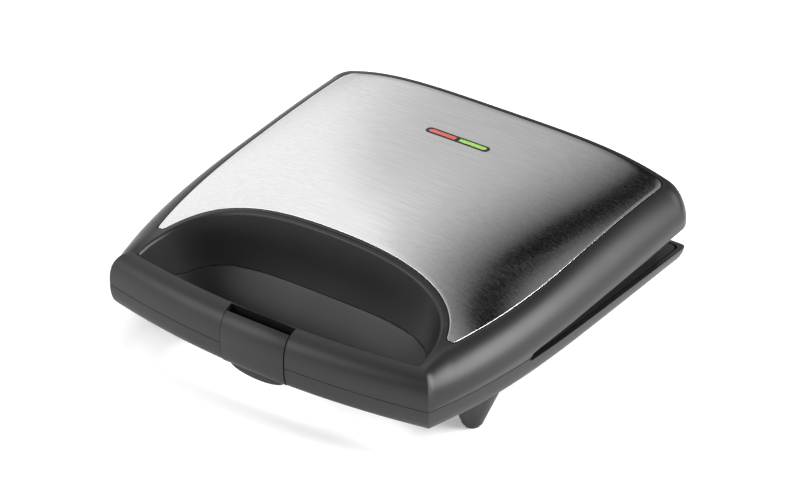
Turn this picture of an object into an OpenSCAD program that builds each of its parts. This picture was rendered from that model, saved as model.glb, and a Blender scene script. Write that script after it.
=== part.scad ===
// Clamshell donut maker: a base with a lower plate, a hinged lid with an upper plate
// and a latch that holds the two handle bars together. Millimetres, +Z up, front at -Y.
// The origin is on the floor, at the middle of the overall width and depth.

/* [Body] */
// Width across the base rim at its widest
body_w = 228; // [218:1:245]
// Depth from the front of the handle bar to the rear wall
body_d = 222; // [216:1:235]
// Width between the two sharp front corners
front_w = 202; // [190:1:212]
// How far the front bows out past its corners
front_bow = 10.5; // [4:0.5:16]
// Length over which the sides widen from the front corners
widen_l = 135; // [90:5:190]
// Radius of the base's two rear corners
base_corner_r = 3.5; // [2:0.5:9]
// Radius of the lid's two rear corners
lid_corner_r = 11; // [8:0.5:13]
// Wall of both housings
wall = 2.5; // [2:0.1:3.2]
// Height of the underside of the base band above the floor
band_z = 22.5; // [18:0.5:30]
// Height of the base band
band_h = 11.7; // [10:0.1:16]
// How far the band tucks in at its lower edge
band_tuck = 3.6; // [1:0.1:5]
// How far the foot of the band is tucked in at the rear
rear_tuck = 10; // [6:0.5:12]

/* [Lid] */
// Height of the handle bar's top above the parting line
bar_h = 18; // [16:0.5:22]
// Thickness of the handle bar, front to back
bar_t = 12; // [11:0.5:16]
// Forward bow of the bar's rear edge
bar_rear_bow = 8.1; // [4:0.1:10]
// Height of the lid's rear side edges above the parting line
edge_h = 34.7; // [33:0.1:38]
// Height of the lid's side edges above the parting line, at the handle
edge_front_h = 21.7; // [19:0.5:24]
// Height that the crown gains behind the handle
crown_rise = 30.3; // [27:0.1:33]
// Length over which the crown rises
crown_len = 33.6; // [28:0.1:38]
// Fall of the crown line towards the rear, per millimetre
crown_fall = 0.0187; // [0.005:0.0001:0.03]
// Outward swell of the lid's side walls
bulge = 4.3; // [1:0.1:5]
// Width of the steel panel at the rear
panel_w = 208; // [196:1:212]
// Thickness of the steel panel
panel_t = 0.8; // [0.6:0.1:1.2]
// Groove round the steel panel
panel_gap = 0.6; // [0.4:0.1:1]
// Distance from the rear wall to the steel panel
panel_rear = 7; // [5:0.1:10]
// Distance of the steel panel's two front tips behind the ends of the handle bar
panel_front = 20.9; // [16:0.1:26]
// Plain lip between the handle well and the steel panel
lip_w = 3.7; // [2:0.1:6]
// Gap between lid and base at the rear
rear_gap = 15.5; // [13:0.5:18]
// Distance from the front corners to the notch where the side gap starts
notch_y = 70; // [55:1:90]
// Drop of the base rim behind the notch
rim_drop = 1.8; // [1:0.1:2.5]

/* [Handle well] */
// Width of the handle well at the parting line
well_w = 170; // [160:1:176]
// Depth of the handle well behind the front corners, at the parting line
well_d = 49.4; // [44:0.1:50]
// How much each side of the well leans out, per millimetre of height
well_lean = 0.25; // [0.1:0.01:0.3]
// How much the back of the well leans back, per millimetre of height
well_back_lean = 0.144; // [0.02:0.002:0.15]
// How much the back of the well runs forward in the base, per millimetre
well_base_lean = 0.79; // [0.3:0.01:1.2]
// Radius of the well's front corners at the parting line
well_corner_r = 16; // [8:0.5:20]
// How far the seam between lid and base rises at the back of the well
seam_rise = 5.6; // [3:0.1:6]
// Width of the seam between lid and base
seam = 0.3; // [0.2:0.05:0.5]

/* [Plates] */
// Distance of the plates' sides from the rim at its widest
plate_side = 8; // [7:0.5:11]
// Distance of the plates behind the front of the handle bar
plate_front = 68; // [66:0.5:72]
// Thickness of the plates' flange
plate_t = 4; // [3:0.1:5]
// Distance from the rear wall to the plates
plate_rear = 14; // [14:0.5:15]
// Clearance between the closed plates
plate_clear = 0.8; // [0.5:0.1:1.2]
// Distance of the outer ring moulds from the plates' sides
ring_side = 11.5; // [10:0.5:16]
// Distance of the ring moulds from the plates' front and rear edges
ring_edge = 7.5; // [6:0.5:10]
// Least gap between neighbouring ring moulds
ring_gap = 3; // [2:0.5:6]
// Radius of a ring's round section
groove_r = 10; // [8:0.5:10.5]
// Wall of the ring moulds
mould_wall = 2.5; // [2:0.1:3]
// Thickness of the two frames that carry the plates
frame_t = 2.2; // [1.8:0.1:2.6]

/* [Heating] */
// Radius of the tubular heating elements
heater_r = 3.25; // [2.8:0.05:3.6]
// How far a heating loop reaches past the centres of the outer rings
heater_over = 11; // [6:0.5:14]
// Corner radius of a heating loop
heater_corner_r = 22; // [16:1:28]
// Thickness of the heat shields
shield_t = 0.6; // [0.5:0.1:1]
// Gap between a heating element and its heat shield
shield_gap = 2.4; // [1.5:0.1:3]

/* [Feet] */
// Radius of a foot where it meets the base
foot_top_r = 14; // [11:0.1:14]
// Radius of a foot's tip
foot_tip_r = 5.8; // [4.5:0.1:7]
// Distance of the front feet behind the front corners
foot_front = 47; // [44:1:50]
// Distance of the front feet from the middle
foot_front_x = 94; // [88:1:95]
// Distance of the rear feet from the middle
foot_rear_x = 78; // [66:1:80]
// Distance of the rear feet from the rear wall
foot_rear = 24; // [18:1:34]
// Height of the rubber pads that stand out of the feet
pad_h = 1.2; // [0.8:0.1:2]

/* [Latch] */
// Width of the latch
latch_w = 39.8; // [34:0.2:46]
// Thickness of the latch
latch_t = 2.6; // [2.2:0.1:3.2]
// Depth of the hook under the base catch
hook_l = 3.0; // [2:0.1:3.4]
// Depth of the finger tongue below the hook
tongue_h = 4.6; // [3:0.1:6]
// Radius of the latch pin
latch_pin_r = 1.25; // [1:0.05:1.5]

/* [Hinge and inlet] */
// Distance of the hinge axis from the rear wall
hinge_in = 8; // [7.8:0.1:9]
// Height of the hinge axis above the parting line
hinge_up = 8; // [7.5:0.1:8.5]
// Distance of each hinge from the middle
hinge_x = 78; // [60:1:84]
// Radius of the hinge pins
hinge_pin_r = 2; // [1.6:0.1:2.2]
// Radial running clearance on both kinds of pin
run_clear = 0.05; // [0.02:0.01:0.09]
// How far the cord gland stands out of the rear wall
gland_out = 6; // [4:0.5:10]
// Radius of the cord gland's bore
gland_bore_r = 3.3; // [2.5:0.1:3.4]

/* [Indicator] */
// Length of the indicator window
window_l = 40.4; // [34:0.2:46]
// Width of the indicator window
window_w = 5.6; // [4.6:0.1:7]
// Distance of the window from the rear wall
window_rear = 47.5; // [40:0.5:60]

/* [Hidden] */
$fn = 48;

eps = 0.01;
fit = 0.3;                              // clearance between pieces that only sit together
overall_d = body_d + gland_out;
y_front = -overall_d / 2;
y_corner = y_front + front_bow;
y_rear = y_front + body_d;
front_hw = front_w / 2;
parting = band_z + band_h;
rim_z = parting - rim_drop;
y_notch = y_corner + notch_y;

// lid surface
bar_z = parting + bar_h;
swell_front_z = 2;                      // height of the widest line, at the front
swell_rear_z = 20;                      // and at the rear of each side
swell_back_z = 12;                      // and on the rear wall
swell_back = 0.4;                       // swell of the rear wall
shoulder_in = 9.2;                      // from the front corners in to the panel's sides
edge_front_hw = front_hw - shoulder_in;
edge_tip_hw = edge_front_hw + 1.1;
edge_tip_l = 16;                        // straight length at the front of the panel's sides
edge_bend_l = 94;                       // length over which they curve behind it
edge_rear_r = 5;
y_edge_rear = y_rear - panel_rear;
y_crown = y_corner + 10.8;
bar_round = 2.4;                        // squareness of the bar's section
side_round = 1.9;                       // of the sides, at the front
side_round_rear = 1.5;                  // and at the rear
back_round = 3.2;                       // and of the rear wall
bar_mid_y = y_front + bar_t;

// mesh steps of the lid's skin: front, side, corner, rear, and the rings up the side
nf = 10;
ns = 20;
nc = 3;
nr = 10;
lower_rings = 2;
shoulder_rings = 7;

function clamp01(t) = min(1, max(0, t));
function smooth(t) = t * t * (3 - 2 * t);
function mix(a, b, t) = a * (1 - t) + b * t;

// half width of the rim at a given y
function side_x(y) = mix(front_hw, body_w / 2, 1 - pow(1 - clamp01((y - y_corner) / widen_l), 3));
// y of the front face at a given x
function front_y(x) = y_corner - front_bow * (1 - pow(x / front_hw, 2));
// y of the handle bar's rear edge at a given x
function bar_rear_y(x) = bar_mid_y + bar_rear_bow * pow(x / edge_front_hw, 2);
y_tip = bar_rear_y(edge_front_hw);

// half width and height of the edge between the lid's top and its shoulder
function edge_x(y) = y < y_tip + edge_tip_l
    ? mix(edge_front_hw, edge_tip_hw, (y - y_tip) / edge_tip_l)
    : mix(edge_tip_hw, panel_w / 2, 1 - pow(1 - clamp01((y - y_tip - edge_tip_l) / edge_bend_l), 2.4));
function edge_z(y) = parting + bar_h + (edge_front_h - bar_h) * (1 - exp(-max(0, y - y_tip) / 11))
    + (edge_h - edge_front_h) * smooth(clamp01((y - y_tip) / (y_edge_rear - y_tip)));
function crown_z(y) = bar_z + crown_rise * (1 - exp(-max(0, y - y_crown) / crown_len))
    - crown_fall * max(0, y - y_crown);
// the crown is a parabola across the front and flattens towards the rear
function crown_power(y) = mix(1.95, 3.84, clamp01((y - y_corner - 40) / (y_edge_rear - y_corner - 40)));
function top_z(x, y) = mix(crown_z(y), edge_z(y), pow(abs(x) / edge_x(y), crown_power(y)));

// the right half of a loop, from the front middle round to the rear middle
n_side = nf + ns;
n_row = nf + ns + nc;
n_half = n_row + nr;
n_loop = 2 * n_half;
edge_corner_y = y_edge_rear - edge_rear_r;
function arc_pt(cx, cy, r, i) = [cx + r * cos(90 * i / nc), cy + r * sin(90 * i / nc)];
function rim_pt(k, r) =
    k <= nf ? [front_hw * k / nf, front_y(front_hw * k / nf)]
    : k <= n_side ? let(y = mix(y_corner, y_rear - r, (k - nf) / ns)) [side_x(y), y]
    : k <= n_row ? arc_pt(side_x(y_rear - r) - r, y_rear - r, r, k - n_side)
    : [(side_x(y_rear - r) - r) * (1 - (k - n_row) / nr), y_rear];
function edge_pt(k) =
    k <= nf ? [edge_front_hw * k / nf, bar_rear_y(edge_front_hw * k / nf)]
    : k <= n_side ? let(y = mix(y_tip, edge_corner_y, (k - nf) / ns)) [edge_x(y), y]
    : k <= n_row ? arc_pt(edge_x(edge_corner_y) - edge_rear_r, edge_corner_y, edge_rear_r, k - n_side)
    : [(edge_x(edge_corner_y) - edge_rear_r) * (1 - (k - n_row) / nr), y_edge_rear];

// one point of the lid's side: k along the half loop, r up the profile
n_ring = lower_rings + shoulder_rings;
function run_t(k) = clamp01((k - nf) / ns);
function back_t(k) = clamp01((k - n_side) / nc);
function lid_pt(k, r, inset, drop) =
    let(b = rim_pt(k, lid_corner_r), e = edge_pt(k), d = b - e, n = d / norm(d),
        swell = mix(bulge * (1 - pow(1 - run_t(k), 3)), swell_back, back_t(k)) - inset,
        swell_z = mix(mix(swell_front_z, swell_rear_z, run_t(k)), swell_back_z, back_t(k)),
        top = top_z(e[0], e[1]) - drop,
        side_p = k <= nf ? bar_round : mix(side_round, side_round_rear, clamp01(1.5 * run_t(k))),
        p = mix(side_p, back_round, back_t(k)),
        m = b + n * swell, e_in = e - n * min(inset, norm(d) / 3))
    r < lower_rings
    ? let(u = r / lower_rings, q = b + n * (mix(-inset, swell, sin(90 * u))))
        [q[0], q[1], parting + u * swell_z]
    : let(a = 90 * (r - lower_rings) / shoulder_rings,
        across = 1 - pow(max(0, cos(a)), 2 / p), up = pow(sin(a), 2 / p),
        q = m * (1 - across) + e_in * across)
        [q[0], q[1], mix(parting + swell_z, top, up)];
function mirror_x(p) = [-p[0], p[1], p[2]];
function lid_loop(r, inset, drop) = concat(
    [for (k = [0:n_half]) lid_pt(k, r, inset, drop)],
    [for (k = [n_half - 1:-1:1]) mirror_x(lid_pt(k, r, inset, drop))]);

// solid under the lid's outer surface, moved in by inset and down by drop
module lid_body(inset, drop, low) {
    cols = 2 * nr;
    base = (n_ring + 1) * n_loop;
    rings = [for (r = [0:n_ring]) each lid_loop(r, inset, drop)];
    first = [for (p = [for (k = [0:n_loop - 1]) rings[k]]) [p[0], p[1], p[2] - low]];
    lower = concat(first, [for (i = [n_loop:len(rings) - 1]) rings[i]]);
    inside = [for (i = [1:n_row - 1]) each
        [for (m = [1:cols - 1]) let(e = lid_pt(i, n_ring, inset, drop), x = e[0] * (1 - 2 * m / cols))
            [x, e[1], min(top_z(x, e[1]) - drop, crown_z(e[1]) - drop)]]];
    function row(i, m) = m == 0 ? n_ring * n_loop + i
        : m == cols ? n_ring * n_loop + n_loop - i
        : i == n_row ? n_ring * n_loop + n_row + m
        : base + (i - 1) * (cols - 1) + m - 1;
    sides = [for (r = [0:n_ring - 1]) each [for (k = [0:n_loop - 1])
        let(a = r * n_loop + k, b = r * n_loop + (k + 1) % n_loop, c = a + n_loop, d = b + n_loop)
        each [[a, c, d], [a, d, b]]]];
    nose = [for (m = [0:cols - 1]) [n_ring * n_loop, row(1, m + 1), row(1, m)]];
    cap = [for (i = [1:n_row - 1]) each [for (m = [0:cols - 1])
        each [[row(i, m), row(i, m + 1), row(i + 1, m + 1)], [row(i, m), row(i + 1, m + 1), row(i + 1, m)]]]];
    bottom = [[for (k = [0:n_loop - 1]) k]];
    polyhedron(points = concat(lower, inside), faces = concat(sides, nose, cap, bottom), convexity = 6);
}

// everything under the crown surface, lowered by drop
crown_over = 1.08;
module crown_solid(drop) {
    ys = concat([for (k = [nf:n_side]) edge_pt(k)[1]], [y_edge_rear + 0.5]);
    xs = concat([-crown_over], [for (m = [-nr:nr]) m / nr], [crown_over]);
    cols = len(xs);
    top = [for (y = ys) each [for (u = xs) let(x = u * edge_x(y)) [x, y, top_z(x, y) - drop]]];
    low = [for (p = top) [p[0], p[1], parting + 6]];
    n = len(top);
    last = len(ys) - 1;
    sheet = [for (i = [0:last - 1]) each [for (m = [0:cols - 2])
        let(a = i * cols + m, b = a + 1, c = a + cols, d = c + 1) each [[a, c, d], [a, d, b]]]];
    under = [for (f = sheet) [f[0] + n, f[2] + n, f[1] + n]];
    ring = concat([for (m = [0:cols - 1]) m], [for (i = [1:last]) i * cols + cols - 1],
        [for (m = [cols - 2:-1:0]) last * cols + m], [for (i = [last - 1:-1:1]) i * cols]);
    skirt = [for (j = [0:len(ring) - 1]) let(a = ring[j], b = ring[(j + 1) % len(ring)])
        each [[a, b, b + n], [a, b + n, a + n]]];
    polyhedron(points = concat(top, low), faces = concat(sheet, under, skirt), convexity = 4);
}

// plan outline of the rim, moved in by inset
function tuck(p) = mix(band_tuck, rear_tuck, pow(clamp01((p[1] - y_corner) / (y_rear - y_corner)), 2)
    * pow(p[0] / side_x(y_rear), 4));
function rim_half(share, inset, r) = [for (k = [0:n_half])
    let(p = rim_pt(k, r), d = share * tuck(p) + inset, t = clamp01((p[1] - y_corner) / (y_rear - r - y_corner)))
    k <= nf ? [p[0] * (1 - d / front_hw), p[1] + d]
    : [p[0] - d * min(1, p[0] / 20), max(p[1], y_corner + d) - d * pow(t, 6)]];
function both_sides(half) = concat(half, [for (k = [len(half) - 2:-1:1]) [-half[k][0], half[k][1]]]);
function rim_loop(share, inset, r) = both_sides(rim_half(share, inset, r));
module rim_2d(inset, r) { polygon(rim_loop(0, inset, r)); }

// solid between plan outlines with the same number of points, each at its height
module loft(outlines, heights) {
    n = len(outlines[0]);
    m = len(outlines);
    pts = [for (i = [0:m - 1]) each [for (p = outlines[i]) [p[0], p[1], heights[i]]]];
    walls = [for (i = [0:m - 2]) each [for (k = [0:n - 1])
        let(a = i * n + k, b = i * n + (k + 1) % n, c = a + n, d = b + n) each [[a, c, d], [a, d, b]]]];
    polyhedron(points = pts, faces = concat([[for (k = [0:n - 1]) k]], walls,
        [[for (k = [n - 1:-1:0]) (m - 1) * n + k]]), convexity = 6);
}

seam_hw = 77;                           // half width of the seam's rise behind the well
// plan outline of the handle well at a height above the parting line
well_n = 16;
well_bar_n = 12;
well_power = 4.2;
well_mid_y = y_corner - 25;
well_mid_hw = well_w / 2;
well_top = 50;
function well_hw(h) = well_mid_hw + (h > 0 ? well_lean : 0.46) * h;
function well_back(h) = well_d + 25 + (h > 0 ? well_back_lean : well_base_lean) * h;
function well_r(h) = h > 0 ? max(1, well_corner_r * pow(1 - min(1, h / bar_h), 1.6)) : well_corner_r;
function power_pt(a, b, t) = [a * pow(abs(cos(t)), 2 / well_power) * sign(cos(t)),
    b * pow(sin(t), 2 / well_power)];
function well_loop(h, grow) =
    let(a = well_hw(h) + grow, b = well_back(h) + grow, r = well_r(h) + 0.2 * grow,
        y0 = y_tip - grow + r - well_mid_y, v = pow(y0 / b, well_power / 2), t0 = asin(v),
        x0 = power_pt(a, b, t0)[0],
        back = [for (i = [0:2 * well_n]) power_pt(a, b, mix(t0, 180 - t0, i / (2 * well_n)))],
        front = [for (i = [1:2 * well_bar_n - 1])
            let(u = -cos(180 * (1 - i / (2 * well_bar_n))), x = -x0 * u,
                e = max(0, abs(x) - (x0 - r)) / r)
            [x, bar_rear_y(x) - grow + r * (1 - sqrt(max(0, 1 - e * e))) - well_mid_y]])
    [for (p = concat(back, front)) [p[0], p[1] + well_mid_y]];
module bar_2d(extra = 0, span = 120) {
    n = 12;
    pts = [for (i = [-n:n]) [span * i / n, bar_rear_y(span * i / n) + extra]];
    polygon(concat(pts, [[span, y_front - 50], [-span, y_front - 50]]));
}
// space of the handle well through the lid and through the base
lid_steps = [0, 3, 7, 12, 18, well_top];
module well_in_lid(grow, low = 0) {
    loft([for (h = lid_steps) well_loop(h, grow)], [for (h = lid_steps) parting + (h == 0 ? -low : h)]);
}
// below its seam the back of the well slopes forward
function seam_h(x) = abs(x) < seam_hw ? seam_rise * (1 - exp(-3.2 * (1 - pow(x / seam_hw, 2)))) : 0;
function base_back(h, s) = well_d + 25 + well_back_lean * max(h, s) - well_base_lean * max(0, s - h);
function base_loop(h, grow) =
    let(a = well_hw(h) + grow, b0 = base_back(h, 0) + grow, r = well_r(0) + 0.2 * grow,
        y0 = y_tip - grow + r - well_mid_y, t0 = asin(pow(y0 / b0, well_power / 2)),
        x0 = power_pt(a, b0, t0)[0],
        back = [for (i = [0:2 * well_n]) let(t = mix(t0, 180 - t0, i / (2 * well_n)), x = power_pt(a, 1, t)[0])
            power_pt(a, base_back(h, seam_h(x)) + grow, t)],
        front = [for (i = [1:2 * well_bar_n - 1])
            let(u = -cos(180 * (1 - i / (2 * well_bar_n))), x = -x0 * u,
                e = max(0, abs(x) - (x0 - r)) / r)
            [x, bar_rear_y(x) - grow + r * (1 - sqrt(max(0, 1 - e * e))) - well_mid_y]])
    [for (p = concat(back, front)) [p[0], p[1] + well_mid_y]];
base_steps = [-band_h - 1, -band_h / 2, 0, 0.25 * seam_rise, 0.5 * seam_rise, 0.75 * seam_rise, seam_rise, seam_rise + 2];
module well_in_base(grow) {
    loft([for (h = base_steps) base_loop(h, grow)], [for (h = base_steps) parting + h]);
}
// the seam rises behind the well: everything below it, moved up by a clearance
function seam_z(x) = parting + seam_h(x);
module below_seam(up) {
    n = 16;
    translate([0, y_corner + 60, 0]) rotate([90, 0, 0]) linear_extrude(34)
        polygon(concat([for (i = [-n:n]) [seam_hw * i / n, seam_z(seam_hw * i / n) + up]],
            [[seam_hw, parting - 1], [-seam_hw, parting - 1]]));
}

module rounded_2d(w, d, r) {
    for (x = [-1, 1]) translate([x * (w / 2 - r), 0]) circle(r);
    square([w - 2 * r, d], center = true);
}
module box_2d(w, d, r) {
    union() {
        square([w - 2 * r, d], center = true);
        square([w, d - 2 * r], center = true);
        for (x = [-1, 1], y = [-1, 1]) translate([x * (w / 2 - r), y * (d / 2 - r)]) circle(r);
    }
}

// plates and what hangs on them
plate_w = body_w - 2 * plate_side;
plate_d = body_d - plate_front - plate_rear;
plate_y = y_rear - plate_rear - plate_d / 2;
lower_face = rim_z + plate_t;
upper_face = lower_face + plate_clear;
mould_h = groove_r + mould_wall;
screw_in = [6, 8];                      // from the plate's sides and ends to its screws
screw_x = plate_w / 2 - screw_in[0];
screw_y = plate_d / 2 - screw_in[1];
screw_r = 1.9;
head_r = 3.6;
head_h = 2;
boss_r = 4.2;
// three columns and two rows of rings fill the plate
mould_r = min((plate_w - 2 * ring_side - 2 * ring_gap) / 6, (plate_d - 2 * ring_edge - ring_gap) / 4);
ring_r = mould_r - groove_r - mould_wall;
ring_pitch_x = plate_w / 2 - ring_side - mould_r;
ring_pitch_y = plate_d - 2 * ring_edge - 2 * mould_r;
ring_at = [for (x = [-1:1], y = [-0.5, 0.5]) [x * ring_pitch_x, y * ring_pitch_y]];
screw_at = [for (x = [-1, 1], y = [-1, 1]) [x * screw_x, y * screw_y]];
heater_w = 2 * (ring_pitch_x + heater_over);
heater_d = ring_pitch_y;
heater_z = mould_h + heater_r * 0.65;    // below the face, at the tube's centre
heater_end = 14;                        // half the break in the loop, at the rear
clamp_x = ring_pitch_x / 2;

module heater_path(r, start = heater_end) {
    w = heater_w / 2;
    d = heater_d / 2;
    c = heater_corner_r;
    for (s = [-1, 1]) {
        translate([s * start, d, 0]) rotate([0, s * 90, 0]) cylinder(r = r, h = w - c - start);
        translate([s * (w - c), d - c, 0]) rotate([0, 0, s > 0 ? 0 : 90])
            rotate_extrude(angle = 90) translate([c, 0]) circle(r);
        translate([s * w, -(d - c), 0]) rotate([-90, 0, 0]) cylinder(r = r, h = 2 * (d - c));
        translate([s * (w - c), -(d - c), 0]) rotate([0, 0, s > 0 ? 270 : 180])
            rotate_extrude(angle = 90) translate([c, 0]) circle(r);
    }
    translate([-(w - c), -d, 0]) rotate([0, 90, 0]) cylinder(r = r, h = 2 * (w - c));
}
module heater_track(width, h) {
    linear_extrude(h) difference() {
        box_2d(heater_w + width, heater_d + width, heater_corner_r + width / 2);
        box_2d(heater_w - width, heater_d - width, heater_corner_r - width / 2);
    }
}

// a cooking plate with its face at z = 0 and its moulds below
module plate() {
    difference() {
        union() {
            translate([0, 0, -plate_t]) linear_extrude(plate_t) box_2d(plate_w, plate_d, 8);
            for (p = ring_at) translate([p[0], p[1], 0]) {
                translate([0, 0, -plate_t - eps]) cylinder(r = ring_r, h = plate_t);
                rotate_extrude() intersection() {
                    translate([ring_r, 0]) circle(mould_r - ring_r);
                    translate([0, -50]) square([60, 50]);
                }
            }
            translate([0, 0, -mould_h]) heater_track(heater_r * 2 + 3, mould_h - plate_t / 2);
            for (x = [-1, 1]) translate([x * clamp_x, 0, -mould_h]) cylinder(r = 9, h = mould_h - 1);
        }
        for (p = ring_at) translate([p[0], p[1], 0]) rotate_extrude()
            translate([ring_r, 0]) circle(groove_r);
        translate([0, 0, -heater_z]) heater_path(heater_r + run_clear, 0);
        for (p = screw_at) translate([p[0], p[1], 0]) {
            translate([0, 0, -plate_t - 1]) cylinder(r = screw_r + fit, h = plate_t + 2);
            translate([0, 0, -head_h - 0.2]) cylinder(r = head_r + fit, h = head_h + 1);
        }
        for (x = [-1, 1]) translate([x * clamp_x, 0, -mould_h - 1]) cylinder(r = 1.5, h = 6);
    }
}

// a heating element in the place that it has under a plate
pin_l = 9;
module element() {
    translate([0, 0, -heater_z]) {
        heater_path(heater_r);
        for (s = [-1, 1]) translate([s * (heater_end - pin_l), heater_d / 2, 0])
            rotate([0, s * 90, 0]) cylinder(r = 1.2, h = pin_l + 1);
    }
}

// two clamp straps that hold the element against the plate's bosses
strap_t = 1.2;
module clamps() {
    for (x = [-1, 1]) translate([x * clamp_x, 0, 0]) {
        difference() {
            translate([-5, -heater_d / 2 - 5, -heater_z - heater_r - strap_t])
                cube([10, heater_d + 10, strap_t]);
            translate([0, 0, -heater_z - heater_r - strap_t - 1]) cylinder(r = 1.5, h = strap_t + 2);
        }
        translate([0, 0, -heater_z - heater_r - strap_t - 1.6]) {
            cylinder(r = 2.8, h = 1.6);
            cylinder(r = 1.5, h = heater_z + heater_r + strap_t + 1.6 - mould_h + 4);
        }
    }
}

shield_z = heater_z + heater_r + strap_t + 1.6 + shield_gap;
shield_over = [7, 23];                  // past the heating loop, to the sides and ends
shield_w = heater_w + 2 * shield_over[0];
shield_d = heater_d + 2 * shield_over[1];
stud_in = 8;                            // from the shield's sides to its two fixings
shield_rim = 5;
module heat_shield() {
    translate([0, 0, -shield_z]) difference() {
        linear_extrude(shield_rim) box_2d(shield_w, shield_d, 12);
        translate([0, 0, shield_t]) linear_extrude(shield_rim) box_2d(shield_w - 2 * shield_t,
            shield_d - 2 * shield_t, 12 - shield_t);
        for (x = [-1, 1]) translate([x * (shield_w / 2 - stud_in), 0, -1]) cylinder(r = 2, h = 4);
    }
}

module plate_screw_set(length) {
    for (p = screw_at) translate([p[0], p[1], -head_h]) {
        cylinder(r = head_r, h = head_h);
        translate([0, 0, -length]) cylinder(r = screw_r, h = length + eps);
    }
}
module place_lower() { translate([0, plate_y, lower_face]) children(); }
module place_upper() { translate([0, plate_y, upper_face]) mirror([0, 0, 1]) children(); }

frame_lap = [6, 4];                     // how far the frames reach under the plates
module frame_2d(inset, r, h) {
    difference() {
        rim_2d(inset, r);
        polygon(well_loop(h, wall + fit));
        translate([-body_w / 2, y_front - 1]) square([body_w, y_tip + 5.5 - y_front]);
        translate([0, plate_y]) box_2d(plate_w - 2 * frame_lap[0], plate_d - 2 * frame_lap[1], 6);
        for (x = [-1, 1]) translate([x * hinge_x - hinge_slot_w / 2, hinge_y - ear_r - 1.2])
            square([hinge_slot_w, 2 * hinge_in]);
    }
}
module boss_holes(r) { for (p = screw_at) translate([p[0], plate_y + p[1]]) circle(r); }

// belly of the base, below its band
belly_clear = 2;                        // between the ring moulds and the belly
belly_w = 2 * (ring_pitch_x + mould_r + belly_clear + wall);
belly_d = ring_pitch_y + 2 * (mould_r + belly_clear + wall);
belly_slope = 6;
belly_z = lower_face - shield_z - 3 - wall;
function box_loop(w, d, r) = [for (i = [0:23]) let(q = floor(i / 6), t = q * 90 + (i % 6) * 18)
    [(q == 0 || q == 3 ? 1 : -1) * (w / 2 - r) + r * cos(t),
        plate_y + (q < 2 ? 1 : -1) * (d / 2 - r) + r * sin(t)]];
module belly(inset, low, high) {
    loft([box_loop(belly_w - 2 * belly_slope - 2 * inset, belly_d - 2 * belly_slope - 2 * inset, 10),
        box_loop(belly_w - 2 * inset, belly_d - 2 * inset, 14),
        box_loop(belly_w - 2 * inset, belly_d - 2 * inset, 14)], [low, band_z, high]);
}
feet_at = [for (x = [-1, 1]) each [[x * foot_front_x, y_corner + foot_front],
    [x * foot_rear_x, y_rear - foot_rear]]];
pad_r = foot_tip_r - 1.4;
tip_round = 1.6;

// hinge: base ears stand either side of a lid lug
lug_w = 8;
ear_w = 4;
hinge_side = 0.4;
hinge_slot_w = lug_w + 2 * ear_w + 2 * hinge_side + 1.2;
hinge_y = y_rear - hinge_in;
hinge_z = parting + hinge_up;
ear_r = 5;
gland_z = band_z + 4.2;                 // low in the band, under the rear gap
gland_r = gland_bore_r + 1.5;
gland_in = 6;
gland_flange_r = gland_r + 0.9;
gland_flange_t = 1.5;
gland_reach = gland_in + gland_flange_t + fit;

// latch and its place in the bars
latch_gap = 0.5;
pin_y = y_front + 5.2;
pin_z = parting + 11;
pocket_back = bar_mid_y - 1.4;
pin_half = latch_w / 2 + 5.5;
knuckle_r = 3;
catch_y = y_front + band_tuck + latch_t - 0.6;   // front of the catch rib in the base
catch_gap = 0.4;
hook_h = 2.6;
catch_h = 2.6;

base_top = parting - seam;
// section of the band: share of the height, share of the tuck
band_steps = [[0, 1], [0.04, 0.75], [0.13, 0.46], [0.3, 0.23], [0.55, 0.07], [1, 0]];
module band_body(inset, low, high) {
    loft([for (s = band_steps) rim_loop(s[1], inset, base_corner_r)], [for (s = band_steps) mix(low, high, s[0])]);
}
frame_clear = 1.2;                      // from the base's wall in to the lower frame
upper_frame_in = 7.6;                   // from the rim in to the upper frame
module base_outer() { band_body(0, band_z, base_top); }
module base_inner() { band_body(wall, band_z + wall, parting + 1); }

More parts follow.
